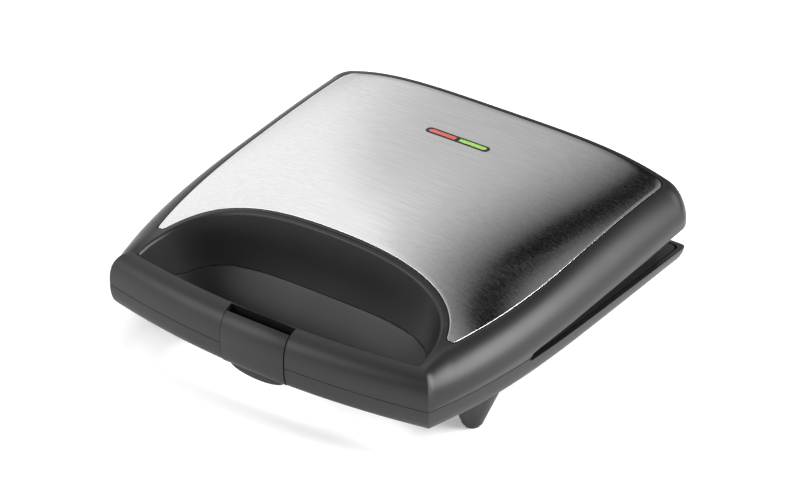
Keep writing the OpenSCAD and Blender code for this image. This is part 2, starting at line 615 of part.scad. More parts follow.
module base_housing() {
    color("#3d3d3f") {
        difference() {
            union() {
                difference() {
                    base_outer();
                    difference() {
                        base_inner();
                        well_in_base(wall);
                        linear_extrude(parting + 5) bar_2d(0);
                    }
                }
                intersection() {
                    below_seam(-seam / 2);
                    well_in_base(wall);
                }
                belly(0, belly_z, band_z + 1);
                for (p = feet_at) translate([p[0], p[1], 0]) foot();
                for (p = screw_at) translate([p[0], plate_y + p[1], band_z + 1])
                    cylinder(r = boss_r, h = rim_z - frame_t - band_z - 1);
                for (x = [-1, 1], s = [-1, 1])
                    translate([x * hinge_x + s * (lug_w + ear_w + 2 * hinge_side) / 2, 0, 0]) ear();
                translate([0, y_rear - gland_reach, gland_z]) rotate([-90, 0, 0])
                    cylinder(r = gland_flange_r + fit + 1.6, h = gland_reach - eps);
            }
            difference() {
                belly(wall, belly_z + wall, band_z + wall + 1);
                for (x = [-1, 1]) translate([x * (shield_w / 2 - stud_in), plate_y, 0])
                    cylinder(r = 3.2, h = lower_face - shield_z);
            }
            difference() {
                translate([-body_w, y_notch, rim_z]) cube([2 * body_w, body_d, band_h + bar_h]);
                for (x = [-1, 1]) translate([x * hinge_x - hinge_slot_w / 2, hinge_y - hinge_in, rim_z - 1])
                    cube([hinge_slot_w, hinge_in + ear_r + 0.1, 3 * hinge_in]);
            }
            well_in_base(0);
            for (p = screw_at) translate([p[0], plate_y + p[1], band_z + wall + 1])
                cylinder(r = screw_r, h = 20);
            for (x = [-1, 1]) translate([x * hinge_x - hinge_slot_w / 2, hinge_y, hinge_z])
                rotate([0, 90, 0]) cylinder(r = hinge_pin_r, h = hinge_slot_w);
            translate([0, y_rear - gland_in - 1, gland_z]) rotate([-90, 0, 0])
                cylinder(r = gland_r, h = gland_in + 5);
            translate([0, y_rear - gland_reach - 1, gland_z]) rotate([-90, 0, 0])
                cylinder(r = gland_flange_r + fit, h = gland_reach + 1 - gland_in);
            latch_recess();
            for (p = feet_at) translate([p[0], p[1], -1]) cylinder(r = pad_r, h = 1 + pad_h + 1.5);
        }
    }
}
module foot() {
    translate([0, 0, pad_h]) rotate_extrude() polygon([[0, 0], [foot_tip_r - tip_round, 0],
        [foot_tip_r - tip_round * 0.3, tip_round * 0.3], [foot_tip_r, tip_round],
        [foot_top_r, band_z - pad_h], [foot_top_r, band_z - pad_h + 1], [0, band_z - pad_h + 1]]);
}
module ear() {
    translate([-ear_w / 2, hinge_y, hinge_z]) rotate([0, 90, 0]) cylinder(r = ear_r, h = ear_w);
    translate([-ear_w / 2, hinge_y - ear_r, band_z + 1]) cube([ear_w, ear_r + 0.4, hinge_z - band_z - 1]);
}
// room for the latch, with a catch rib left for its hook
module latch_recess() {
    w = latch_w + 2 * latch_gap;
    hook_room = catch_y + hook_l + 0.6 - y_front + 10;
    translate([-w / 2, y_front - 10, band_z - 5]) cube([w, catch_y - y_front + 10, band_h + 10]);
    translate([-w / 2, y_front - 10, band_z - 5]) cube([w, hook_room, 5 + hook_h + catch_gap]);
    translate([-w / 2, y_front - 10, band_z + hook_h + catch_gap + catch_h]) cube([w, hook_room, band_h]);
}

module lower_frame() {
    color("#29292a") translate([0, 0, rim_z - frame_t]) linear_extrude(frame_t - eps) difference() {
        frame_2d(wall + frame_clear, base_corner_r, 0);
        boss_holes(screw_r + fit);
        translate([-gland_flange_r - 2.5, y_rear - gland_reach - 1]) square([2 * gland_flange_r + 5, 2 * gland_in]);
    }
}
module lower_plate() { color("#1f1f20") place_lower() plate(); }
module lower_element() { color("#8f8a84") place_lower() element(); }
module lower_heat_shield() { color("#b9bbbd") place_lower() heat_shield(); }
module lower_element_clamps() { color("#a8aaac") place_lower() clamps(); }
module lower_plate_screws() { color("#8d8f92") place_lower() plate_screw_set(plate_t - head_h + frame_t + 4); }
module foot_pads() {
    color("#202020") for (p = feet_at) translate([p[0], p[1], 0]) {
        cylinder(r1 = pad_r - 0.4, r2 = pad_r, h = pad_h);
        translate([0, 0, pad_h - eps]) cylinder(r = pad_r, h = 1.5);
    }
}
module cord_gland() {
    color("#222224") translate([0, y_rear, gland_z]) rotate([-90, 0, 0]) difference() {
        union() {
            translate([0, 0, -gland_in]) cylinder(r = gland_r, h = gland_in + gland_out);
            cylinder(r = gland_flange_r, h = 1.2);
            translate([0, 0, -gland_in - gland_flange_t]) cylinder(r = gland_flange_r, h = gland_flange_t);
        }
        translate([0, 0, -10]) cylinder(r = gland_bore_r, h = 12 + gland_out);
    }
}
block_w = 30;
block_d = 7;
block_h = 4.6;
block_x = 24;
module terminal_block() {
    color("#d8d4c8") translate([block_x, hinge_y - 3.5, band_z + wall]) difference() {
        translate([-block_w / 2, -block_d / 2, 0]) cube([block_w, block_d, block_h]);
        for (i = [-1:1]) translate([i * block_w / 3, 0, 1.2]) cylinder(r = 1.4, h = block_h);
    }
}
module terminal_screws() {
    color("#c9b26a") for (i = [-1:1])
        translate([block_x + i * block_w / 3, hinge_y - 3.5, band_z + wall + 1.2])
            cylinder(r = 1.4, h = block_h - 1.6);
}
module hinge_pins() {
    color("#9a9c9f") for (x = [-1, 1])
        translate([x * hinge_x - (lug_w + 2 * ear_w + 2 * hinge_side) / 2, hinge_y, hinge_z])
            rotate([0, 90, 0]) cylinder(r = hinge_pin_r, h = lug_w + 2 * ear_w + 2 * hinge_side);
}

// the lid's lower edge rises from the notch to the rear
module side_gap() {
    rotate([90, 0, 90]) translate([0, 0, -body_w]) linear_extrude(2 * body_w)
        polygon([[y_notch, parting - 5], [y_notch, parting + 3.4], [y_notch + 5, parting + 4.8],
            [y_notch + 45, parting + 0.57 * rear_gap], [y_rear, parting + rear_gap],
            [y_rear + 20, parting + rear_gap + 1], [y_rear + 20, parting - 5]]);
}
module panel_2d(grow = 0) {
    half = [for (k = [nf:n_half]) let(e = edge_pt(k), d = grow - panel_gap)
        [max(0, e[0] + (k <= n_row ? d : 0)), e[1] + (k > n_side ? d : 0)]];
    difference() {
        polygon(concat(half, [for (k = [len(half) - 2:-1:0]) [-half[k][0], half[k][1]]]));
        lip_2d(lip_w - grow);
        translate([-body_w, y_front]) square([2 * body_w, y_tip + panel_front - grow - y_front]);
    }
}
rim_below_crown = 9;                    // height of the well's rim at the middle and at the sides
rim_above_bar = 2;
// outline of the well's rim as it lies on the crown, grown by a lip
function rim_h(x) = let(u = min(1, abs(x) / edge_front_hw))
    mix(crown_rise + bar_h - rim_below_crown, bar_h + rim_above_bar, pow(u, 2.2));
module lip_2d(grow) {
    arc = [for (i = [0:2 * well_n]) let(t = 180 * i / (2 * well_n), q = power_pt(well_hw(20), 1, t),
        h = rim_h(q[0])) power_pt(well_hw(h) + grow, well_back(h) + grow, t)];
    translate([0, well_mid_y]) polygon(concat(arc, [[arc[2 * well_n][0], -60], [arc[0][0], -60]]));
}
window_y = y_rear - window_rear;
function window_z(d) = crown_z(window_y) - d;
module window_2d(grow) {
    rounded_2d(window_l + 2 * grow, window_w + 2 * grow, window_w / 2 + grow);
}

recess_drop = panel_t + 0.15;
module upper_housing() {
    color("#3d3d3f") difference() {
        union() {
            difference() {
                lid_body(0, 0, 0);
                difference() {
                    lid_body(wall, wall + recess_drop, 1);
                    well_in_lid(wall, 1);
                    linear_extrude(bar_z + 5) bar_2d(0);
                }
            }
            intersection() {
                lid_body(wall / 2, wall / 2 + recess_drop, 0);
                lid_inner_fittings();
            }
            for (x = [-1, 1]) translate([x * hinge_x, 0, 0]) lug();
        }
        well_in_lid(0, 1);
        below_seam(seam / 2);
        side_gap_around_lugs();
        difference() {
            translate([0, 0, parting + 10]) linear_extrude(well_top) panel_2d(panel_gap);
            crown_solid(recess_drop);
        }
        latch_pocket();
        for (x = [-1, 1]) translate([x * hinge_x - lug_w, hinge_y, hinge_z])
            rotate([0, 90, 0]) cylinder(r = hinge_pin_r + run_clear, h = 2 * lug_w);
        for (p = screw_at) translate([p[0], plate_y + p[1], upper_face])
            cylinder(r = screw_r, h = plate_t + frame_t + 6.5);
        translate([0, window_y, window_z(20)]) linear_extrude(40) window_2d(fit / 2);
        for (s = [-1, 1]) translate([s * pin_half, pin_y, pin_z]) rotate([0, -s * 90, 0])
            cylinder(r = latch_pin_r, h = 8);
    }
}
module lid_inner_fittings() {
    for (p = screw_at) translate([p[0], plate_y + p[1], upper_face + plate_t + frame_t])
        cylinder(r = boss_r, h = 60);
    for (x = [-1, 1]) translate([x * (shield_w / 2 - stud_in), plate_y, upper_face + shield_z])
        cylinder(r = 3.2, h = 60);
}
module lug() {
    translate([-lug_w / 2, 0, 0]) {
        translate([0, hinge_y, hinge_z]) rotate([0, 90, 0]) cylinder(r = ear_r, h = lug_w);
        translate([0, hinge_y - ear_r, hinge_z]) cube([lug_w, ear_r + hinge_in - wall / 2, 18]);
    }
}
module side_gap_around_lugs() {
    difference() {
        side_gap();
        for (x = [-1, 1]) translate([x * hinge_x - lug_w / 2 - eps, hinge_y - ear_r - 1, parting])
            cube([lug_w + 2 * eps, ear_r + 1 + ear_r, 20]);
    }
}
module latch_pocket() {
    w = latch_w + 2 * latch_gap;
    translate([-w / 2, y_front - 10, parting - 1]) cube([w, pocket_back - y_front + 10, bar_h + 5]);
}

module top_panel() {
    color("#b4b5b7") difference() {
        intersection() {
            translate([0, 0, parting + 10]) linear_extrude(well_top) panel_2d(0);
            difference() {
                crown_solid(0);
                crown_solid(panel_t);
            }
        }
        translate([0, window_y, parting]) linear_extrude(90) window_2d(0);
    }
}
bezel_proud = 0.3;
bezel_h = recess_drop + wall + bezel_proud + 0.15;
lens_l = (window_l - 5.4) / 2;
lens_w = window_w - 2.2;
module indicator_bezel() {
    color("#161617") translate([0, window_y, window_z(bezel_h - bezel_proud)]) difference() {
        union() {
            linear_extrude(bezel_h) window_2d(-fit / 3);
            translate([0, 0, -1.2]) linear_extrude(1.2) window_2d(2);
        }
        for (s = [-1, 1]) translate([s * (lens_l / 2 + 1), 0, -2]) linear_extrude(bezel_h + 3)
            square([lens_l, lens_w], center = true);
    }
}
module lens(s) {
    translate([s * (lens_l / 2 + 1), window_y, window_z(bezel_h - bezel_proud) - 1.2])
        linear_extrude(bezel_h + 1.1) square([lens_l - 0.1, lens_w - 0.1], center = true);
}
module red_lens() { color("#ff5a50") lens(-1); }
module green_lens() { color("#a8f05a") lens(1); }
holder_z = window_z(bezel_h - bezel_proud) - 1.2;
lamp_r = 1.6;
holder_h = 7;
module lamp_holder() {
    color("#e4e2dc") translate([0, window_y, holder_z - holder_h]) difference() {
        translate([-window_l / 2 - 2, -window_w / 2 - 1.5, 0])
            cube([window_l + 4, window_w + 3, holder_h - eps]);
        for (s = [-1, 1]) translate([s * (lens_l / 2 + 1), 0, -1]) cylinder(r = lamp_r + 0.3, h = holder_h + 2);
    }
}
module indicator_lamps() {
    color("#f0c9a0") for (s = [-1, 1])
        translate([s * (lens_l / 2 + 1), window_y, holder_z - holder_h - 2]) {
            cylinder(r = lamp_r, h = holder_h + 0.4);
            translate([0, 0, holder_h + 0.4]) sphere(r = lamp_r);
        }
}
module upper_frame() {
    color("#29292a") translate([0, 0, upper_face + plate_t + eps]) linear_extrude(frame_t - 2 * eps)
        difference() {
            frame_2d(upper_frame_in, lid_corner_r, upper_face + plate_t + frame_t - parting);
            boss_holes(screw_r + fit);
        }
}
module upper_plate() { color("#1f1f20") place_upper() plate(); }
module upper_element() { color("#8f8a84") place_upper() element(); }
module upper_heat_shield() {
    color("#b9bbbd") place_upper() heat_shield();
}
module upper_element_clamps() { color("#a8aaac") place_upper() clamps(); }
module upper_plate_screws() { color("#8d8f92") place_upper() plate_screw_set(plate_t - head_h + frame_t + 6); }

// safety parts on the back of the upper plate
safety_in = 15;                         // from the plate's sides
thermostat_x = safety_in - plate_w / 2;
thermostat_r = 7.5;
thermostat_h = 8;
safety_z = upper_face + plate_t;
module thermostat() {
    color("#b08d62") translate([thermostat_x, plate_y, safety_z]) difference() {
        union() {
            cylinder(r = thermostat_r, h = thermostat_h);
            translate([0, 0, thermostat_h - eps]) cylinder(r = thermostat_r - 2.2, h = 3);
            for (s = [-1, 1]) translate([s * 3.4 - 0.4, -3, thermostat_h]) cube([0.8, 6, 10]);
        }
        translate([0, 0, -eps]) cylinder(r = 1.5, h = 3);
    }
}
fuse_r = 2;
fuse_l = 14;
fuse_y = plate_y;
fuse_x = plate_w / 2 - safety_in;
module thermal_fuse() {
    color("#d9d6cf") translate([fuse_x, fuse_y - fuse_l / 2, safety_z + fuse_r + 0.8])
        rotate([-90, 0, 0]) {
            cylinder(r = fuse_r, h = fuse_l);
            translate([0, 0, -6]) cylinder(r = 0.5, h = fuse_l + 12);
        }
}
module thermal_fuse_clip() {
    color("#9fa1a3") translate([fuse_x, fuse_y, safety_z]) difference() {
        translate([-fuse_r - 1.5, -3, 0]) cube([2 * fuse_r + 3, 6, fuse_r + 2.2]);
        translate([0, -4, fuse_r + 0.8]) rotate([-90, 0, 0]) cylinder(r = fuse_r, h = 8);
    }
}

module latch_pin() {
    color("#9a9c9f") translate([-pin_half, pin_y, pin_z]) rotate([0, 90, 0])
        cylinder(r = latch_pin_r, h = 2 * pin_half);
}
// section of the latch: its front follows the handle bar and the base band
function bar_face_y(h) = h < swell_front_z ? 0
    : bar_t * (1 - pow(1 - pow(clamp01((h - swell_front_z) / (bar_h - swell_front_z)), bar_round),
        1 / bar_round));
latch_top = bar_h - 1.6;
catch_in = catch_y - y_front;
module latch_section() {
    steps = 8;
    face = [for (i = [0:steps]) let(h = mix(swell_front_z, latch_top, sin(90 * i / steps))) [bar_face_y(h), h]];
    band = [for (s = band_steps) [band_tuck * s[1], -band_h * (1 - s[0])]];
    knuckle = [bar_face_y(latch_top) + 0.9, pin_z - parting];
    back = [for (i = [steps - 1:-1:0]) if (face[i][1] < knuckle[1] - 1) [face[i][0] + latch_t, face[i][1]]];
    polygon(concat([for (i = [1:len(band) - 1]) band[i]], face,
        [[knuckle[0], latch_top - 0.7], knuckle], back,
        [[latch_t, -band_h * 0.3], [catch_in - 0.5, -band_h + hook_h + catch_gap + catch_h + 0.3],
            [catch_in - 0.5, -band_h + hook_h], [catch_in + hook_l, -band_h + hook_h],
            [catch_in + hook_l, -band_h + 0.8], [catch_in + hook_l - 0.8, -band_h],
            [band_tuck * 0.9, -band_h]]));
}
module latch() {
    color("#3d3d3f") translate([0, y_front, parting]) difference() {
        union() {
            rotate([90, 0, 90]) translate([0, 0, -latch_w / 2]) linear_extrude(latch_w) latch_section();
            translate([-latch_w / 2, pin_y - y_front, pin_z - parting]) rotate([0, 90, 0])
                cylinder(r = knuckle_r, h = latch_w);
            tongue();
        }
        translate([-latch_w, pin_y - y_front, pin_z - parting]) rotate([0, 90, 0])
            cylinder(r = latch_pin_r + run_clear, h = 2 * latch_w);
    }
}
module tongue() {
    half = latch_w / 2 - 2.5;
    steps = 12;
    translate([0, catch_in - 1.6, -band_h + 0.4]) rotate([-90, 0, 0]) linear_extrude(2.6)
        polygon(concat([[half, -0.3], [-half, -0.3]], [for (i = [0:steps])
            let(x = mix(-half, half, i / steps)) [x, (tongue_h + 0.4) * sqrt(max(0, 1 - pow(x / half, 2)))]]));
}

base_housing();
lower_frame();
lower_plate();
lower_element();
lower_heat_shield();
lower_element_clamps();
lower_plate_screws();
foot_pads();
cord_gland();
terminal_block();
terminal_screws();
hinge_pins();
upper_housing();
top_panel();
indicator_bezel();
red_lens();
green_lens();
lamp_holder();
indicator_lamps();
upper_frame();
upper_plate();
upper_element();
upper_heat_shield();
upper_element_clamps();
upper_plate_screws();
thermostat();
thermal_fuse();
thermal_fuse_clip();
latch_pin();
latch();
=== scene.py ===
"""Looks for a clamshell donut maker, laid out as an add-on and run as a script."""
import math
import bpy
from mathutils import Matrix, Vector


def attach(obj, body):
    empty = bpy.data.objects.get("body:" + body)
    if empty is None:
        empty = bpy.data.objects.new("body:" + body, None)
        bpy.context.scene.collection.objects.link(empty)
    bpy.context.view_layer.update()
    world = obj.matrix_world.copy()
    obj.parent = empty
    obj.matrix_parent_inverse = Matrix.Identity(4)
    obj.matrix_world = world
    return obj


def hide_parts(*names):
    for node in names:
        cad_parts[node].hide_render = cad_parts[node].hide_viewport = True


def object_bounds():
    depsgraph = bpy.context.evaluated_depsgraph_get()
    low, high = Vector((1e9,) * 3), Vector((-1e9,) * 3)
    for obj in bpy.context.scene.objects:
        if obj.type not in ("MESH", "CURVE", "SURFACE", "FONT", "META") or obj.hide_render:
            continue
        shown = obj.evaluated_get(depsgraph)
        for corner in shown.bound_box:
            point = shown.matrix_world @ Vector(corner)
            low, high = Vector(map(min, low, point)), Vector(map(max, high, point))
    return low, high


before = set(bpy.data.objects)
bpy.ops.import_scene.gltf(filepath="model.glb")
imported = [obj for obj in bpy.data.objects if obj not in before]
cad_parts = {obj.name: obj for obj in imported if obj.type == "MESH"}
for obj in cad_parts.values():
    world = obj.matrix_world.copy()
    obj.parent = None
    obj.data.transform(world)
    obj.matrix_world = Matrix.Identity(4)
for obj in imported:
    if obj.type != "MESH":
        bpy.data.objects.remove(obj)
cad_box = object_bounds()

from types import SimpleNamespace

import bmesh
import bpy
import numpy as np
from bpy.props import FloatProperty, FloatVectorProperty, PointerProperty
from mathutils import Matrix, Vector

bl_info = {
    "name": "Donut Maker",
    "version": (1, 0, 0),
    "blender": (4, 5, 0),
    "location": "View3D > Sidebar > Donut Maker",
    "description": "Dresses a packed donut maker with detailed shells, materials and a studio",
    "category": "Object",
}

MM = 0.001


# ---------------------------------------------------------------- colours

def linear(code):
    """Turns an sRGB hex colour into linear values."""
    parts = [int(code[i:i + 2], 16) / 255 for i in (1, 3, 5)]
    return tuple(c / 12.92 if c <= 0.04045 else ((c + 0.055) / 1.055) ** 2.4 for c in parts)


def length(name, words, millimetres):
    return FloatProperty(name=name, description=words, default=millimetres * MM, unit="LENGTH")


def colour(name, words, code):
    return FloatVectorProperty(name=name, description=words, default=linear(code),
                               subtype="COLOR", size=3, min=0, max=1)


class DonutMakerSizes(bpy.types.PropertyGroup):
    """Sizes that the shells are drawn from, as in the solids"""
    body_w: length("Body width", "Width of the rim at the rear", 228)
    body_d: length("Body depth", "Depth from the handle to the rear wall", 222)
    front_w: length("Front width", "Width between the front corners", 202)
    front_bow: length("Front bow", "How far the handle bows forward", 10.5)
    wall: length("Wall", "Wall of the moulded shells", 2.5)
    band_z: length("Band height above the floor", "Underside of the base's band", 22.5)
    band_h: length("Band height", "From the underside to the parting line", 11.7)
    band_tuck: length("Band tuck", "How far the foot of the band is tucked in", 3.6)
    rear_tuck: length("Rear tuck", "The same at the rear corners", 10)
    bar_h: length("Bar height", "Handle bar above the parting line", 18)
    bar_t: length("Bar depth", "Handle bar, front to rear, at the middle", 12)
    bar_rear_bow: length("Bar rear bow", "How far the bar's rear face curves back", 8.1)
    edge_h: length("Edge height", "Rear end of the lid's shoulder", 34.7)
    edge_front_h: length("Front edge height", "Front end of the lid's shoulder", 21.7)
    crown_rise: length("Crown rise", "Height that the crown gains behind the handle", 30.3)
    crown_len: length("Crown length", "Length over which the crown rises", 33.6)
    bulge: length("Bulge", "Swell of the lid's sides", 4.3)
    panel_w: length("Panel width", "Width of the steel panel", 208)
    panel_t: length("Panel thickness", "Sheet thickness of the steel panel", 0.8)
    panel_gap: length("Panel gap", "Gap round the steel panel", 0.6)
    panel_rear: length("Panel rear", "From the panel's rear edge to the rear wall", 7)
    lip_w: length("Lip width", "Black lip between the well and the panel", 3.7)
    panel_front: length("Panel front", "Panel tips behind the ends of the handle bar", 20.9)
    rear_gap: length("Rear gap", "Height of the gap at the hinge", 15.5)
    notch_y: length("Notch", "From the front corner to the start of the gap", 70)
    rim_drop: length("Rim drop", "Drop of the base's rim behind the notch", 1.8)
    well_w: length("Well width", "Width of the handle well", 170)
    well_d: length("Well depth", "Depth of the handle well", 49.4)
    well_corner_r: length("Well corner", "Radius of the well's front corners", 16)
    seam_rise: length("Seam rise", "Rise of the seam behind the well", 5.6)
    seam: length("Seam", "Gap between lid and base", 0.3)
    plate_side: length("Plate side", "From the plates' sides to the widest rim", 8)
    plate_front: length("Plate front", "From the front of the bar to the plates", 68)
    plate_rear: length("Plate rear", "From the plates to the rear wall", 14)
    foot_top_r: length("Foot top", "Radius of a foot where it meets the base", 14)
    foot_tip_r: length("Foot tip", "Radius of a foot at its tip", 5.8)
    latch_w: length("Latch width", "Width of the latch", 39.8)
    latch_t: length("Latch thickness", "Wall of the latch", 2.6)
    window_l: length("Window length", "Length of the indicator window", 40.4)
    window_w: length("Window width", "Width of the indicator window", 5.6)
    window_rear: length("Window rear", "From the indicator window to the rear wall", 47.5)


class DonutMakerColours(bpy.types.PropertyGroup):
    """Colours of the finishes"""
    black_plastic: colour("Black plastic", "Moulded shells", "#171718")
    inner_plastic: colour("Inner plastic", "Frames behind the shells", "#19191a")
    steel: colour("Steel", "Brushed panel", "#d6d6d6")
    coating: colour("Coating", "Non-stick coating of the plates", "#2b2b2d")
    rubber: colour("Rubber", "Foot pads", "#1c1c1c")
    red: colour("Red lens", "Power lens", "#ff7a6e")
    green: colour("Green lens", "Ready lens", "#c0ff74")
    floor: colour("Floor", "Floor and backdrop", "#f4f4f4")


# ---------------------------------------------------------------- numbers in millimetres

def clamp01(t):
    return np.clip(t, 0, 1)


def smooth(t):
    return t * t * (3 - 2 * t)


def mix(a, b, t):
    return a * (1 - t) + b * t


class Form:
    """The surfaces of the object, in millimetres, from the sizes in the sidebar."""

    side_run = 135        # length over which the body widens
    base_corner = 3.5
    lid_corner = 11
    edge_corner = 5
    edge_bend = 94
    edge_short = 16       # the first stretch of the panel's edge
    edge_power = 2.4
    crown_fall = 0.0187
    swell_z = (2, 20, 12)  # height of the widest line: front, rear of the side, back
    swell_back = 0.4
    bar_round = 2.4
    side_round = (1.9, 1.5)
    back_round = 3.2
    shoulder_in = 9.2     # from the rim to the panel's edge line, at the front
    edge_tip_out = 1.1    # widening of that line over its first stretch
    edge_front_run = 11   # length over which that line rises behind the bar
    crown_in = 10.8       # from the front corners to the start of the crown
    crown_powers = (1.95, 3.84, 40)  # roundness: front, rear, and where it starts to change
    rim_heights = (9, 2, 2.2)  # well's rim: below the crown, above the bar, and their blend
    well_middle = 25      # middle of the well's curve, in front of the corners
    well_round = 1.7      # rounding of its rim
    seam_power = 3.2
    well_power = 4.2
    well_lean = 0.25
    well_back_lean = 0.144
    well_base_side, well_base_lean = 0.46, 0.79
    seam_hw = 77

    def __init__(self, sizes):
        for name in sizes.__annotations__:
            setattr(self, name, getattr(sizes, name) / MM)
        self.y_front = cad_box[0][1] / MM
        self.y_corner = self.y_front + self.front_bow
        self.y_rear = self.y_front + self.body_d
        self.front_hw = self.front_w / 2
        self.parting = self.band_z + self.band_h
        self.rim_z = self.parting - self.rim_drop
        self.y_notch = self.y_corner + self.notch_y
        self.bar_z = self.parting + self.bar_h
        self.bar_mid_y = self.y_front + self.bar_t
        self.edge_hw = self.front_hw - self.shoulder_in
        self.edge_tip_hw = self.edge_hw + self.edge_tip_out
        self.y_edge_rear = self.y_rear - self.panel_rear
        self.window_y = self.y_rear - self.window_rear
        self.y_crown = self.y_corner + self.crown_in
        self.y_tip = self.bar_rear_y(self.edge_hw)
        self.edge_corner_y = self.y_edge_rear - self.edge_corner
        self.well_mid_y = self.y_corner - self.well_middle
        self.plate_w = self.body_w - 2 * self.plate_side
        self.plate_d = self.body_d - self.plate_front - self.plate_rear
        self.plate_y = self.y_rear - self.plate_rear - self.plate_d / 2

    # rim, bar and edge lines
    def side_x(self, y):
        run = clamp01((y - self.y_corner) / self.side_run)
        return mix(self.front_hw, self.body_w / 2, 1 - (1 - run) ** 3)

    def front_y(self, x):
        return self.y_corner - self.front_bow * (1 - (x / self.front_hw) ** 2)

    def bar_rear_y(self, x):
        return self.bar_mid_y + self.bar_rear_bow * (x / self.edge_hw) ** 2

    def edge_x(self, y):
        first = mix(self.edge_hw, self.edge_tip_hw, (y - self.y_tip) / self.edge_short)
        t = clamp01((y - self.y_tip - self.edge_short) / self.edge_bend)
        return np.where(y < self.y_tip + self.edge_short, first,
                        mix(self.edge_tip_hw, self.panel_w / 2, 1 - (1 - t) ** self.edge_power))

    def edge_z(self, y):
        run = np.maximum(0, y - self.y_tip)
        rise = (self.edge_front_h - self.bar_h) * (1 - np.exp(-run / self.edge_front_run))
        return (self.parting + self.bar_h + rise
                + (self.edge_h - self.edge_front_h) * smooth(clamp01(run / (self.y_edge_rear - self.y_tip))))

    def crown_z(self, y):
        run = np.maximum(0, y - self.y_crown)
        return self.bar_z + self.crown_rise * (1 - np.exp(-run / self.crown_len)) - self.crown_fall * run

    def crown_power(self, y):
        front, rear, start = self.crown_powers
        start += self.y_corner
        return mix(front, rear, clamp01((y - start) / (self.y_edge_rear - start)))

    def top_z(self, x, y):
        u = np.abs(x) / self.edge_x(y)
        return mix(self.crown_z(y), self.edge_z(y), u ** self.crown_power(y))

    # half loops from the front middle, round the right side, to the rear middle
    def half_loops(self, corner, counts):
        nf, ns, nc, nr = counts
        u = np.linspace(0, 1, nf + 1)
        x = self.front_hw * u
        rim = [np.stack([x, self.front_y(x)], 1)]
        x = self.edge_hw * u
        edge = [np.stack([x, self.bar_rear_y(x)], 1)]
        t = np.linspace(0, 1, ns + 1)[1:]
        y = mix(self.y_corner, self.y_rear - corner, t)
        rim.append(np.stack([self.side_x(y), y], 1))
        y = mix(self.y_tip, self.edge_corner_y, t)
        edge.append(np.stack([self.edge_x(y), y], 1))
        a = np.radians(90) * np.linspace(0, 1, nc + 1)[1:]
        turn = np.stack([np.cos(a), np.sin(a)], 1)
        rim_x = self.side_x(self.y_rear - corner) - corner
        edge_x = self.edge_x(self.edge_corner_y) - self.edge_corner
        rim.append(np.array([rim_x, self.y_rear - corner]) + corner * turn)
        edge.append(np.array([edge_x, self.edge_corner_y]) + self.edge_corner * turn)
        v = 1 - np.linspace(0, 1, nr + 1)[1:]
        rim.append(np.stack([rim_x * v, np.full(nr, self.y_rear)], 1))
        edge.append(np.stack([edge_x * v, np.full(nr, self.y_edge_rear)], 1))
        run = np.concatenate([np.zeros(nf + 1), t, np.ones(nc + nr)])
        back = np.concatenate([np.zeros(nf + 1 + ns), np.linspace(0, 1, nc + 1)[1:], np.ones(nr)])
        return np.concatenate(rim), np.concatenate(edge), run, back

    def tuck(self, p):
        t = clamp01((p[:, 1] - self.y_corner) / (self.y_rear - self.y_corner))
        return mix(self.band_tuck, self.rear_tuck, t ** 2 * (p[:, 0] / (self.body_w / 2)) ** 4)

    def band_loop(self, share, inset, counts):
        rim = self.half_loops(self.base_corner, counts)[0]
        nf = counts[0]
        d = share * self.tuck(rim) + inset
        t = clamp01((rim[:, 1] - self.y_corner) / (self.y_rear - self.base_corner - self.y_corner))
        x = rim[:, 0] - d * np.minimum(1, rim[:, 0] / 20)
        y = np.maximum(rim[:, 1], self.y_corner + d) - d * t ** 6
        front = np.arange(len(rim)) <= nf
        x = np.where(front, rim[:, 0] * (1 - d / self.front_hw), x)
        y = np.where(front, rim[:, 1] + d, y)
        return both_sides(np.stack([x, y], 1))

    # handle well
    def well_hw(self, h):
        return self.well_w / 2 + np.where(h > 0, self.well_lean, self.well_base_side) * h

    def well_back(self, h):
        return self.well_d + self.well_middle + self.well_back_lean * h

    def power_pt(self, a, b, t):
        c, s = np.cos(t), np.sin(t)
        return np.stack([a * np.abs(c) ** (2 / self.well_power) * np.sign(c),
                         b * np.abs(s) ** (2 / self.well_power)], -1)

    def well_r(self, h):
        return np.maximum(1, self.well_corner_r * (1 - clamp01(h / self.bar_h)) ** 1.6)

    def well_loop(self, h, grow, n=48, m=40):
        """Outline of the well. h, the height above the parting line, may differ by point."""
        count = 2 * n + 2 * m
        h, grow = (np.broadcast_to(v, count) * 1.0 for v in (h, grow))
        a, b = self.well_hw(h) + grow, self.well_back(h) + grow
        r = self.well_r(h) + 0.2 * grow
        t0 = np.arcsin(((self.y_tip - grow + r - self.well_mid_y) / b) ** (self.well_power / 2))
        k = 2 * n + 1
        share = np.linspace(0, 1, k)
        rear = self.power_pt(a[:k], b[:k], mix(t0[:k], math.pi - t0[:k], share))
        a, b, r, t0, grow = (v[k:] for v in (a, b, r, t0, grow))
        return self.close_well(rear, self.power_pt(a, b, t0)[:, 0], r, grow, m)

    def close_well(self, rear, x0, r, grow, m):
        """Joins the well's rear line to its front, which follows the handle bar."""
        x = x0 * np.cos(np.pi * (1 - np.arange(1, 2 * m) / (2 * m)))
        e = np.maximum(0, np.abs(x) - (x0 - r)) / r
        y = self.bar_rear_y(x) - grow + r * (1 - np.sqrt(np.maximum(0, 1 - e * e))) - self.well_mid_y
        return np.concatenate([rear, np.stack([x, y], 1)]) + np.array([0, self.well_mid_y])

    def base_back(self, h, seam):
        return (self.well_d + self.well_middle + self.well_back_lean * np.maximum(h, seam)
                - self.well_base_lean * np.maximum(0, seam - h))

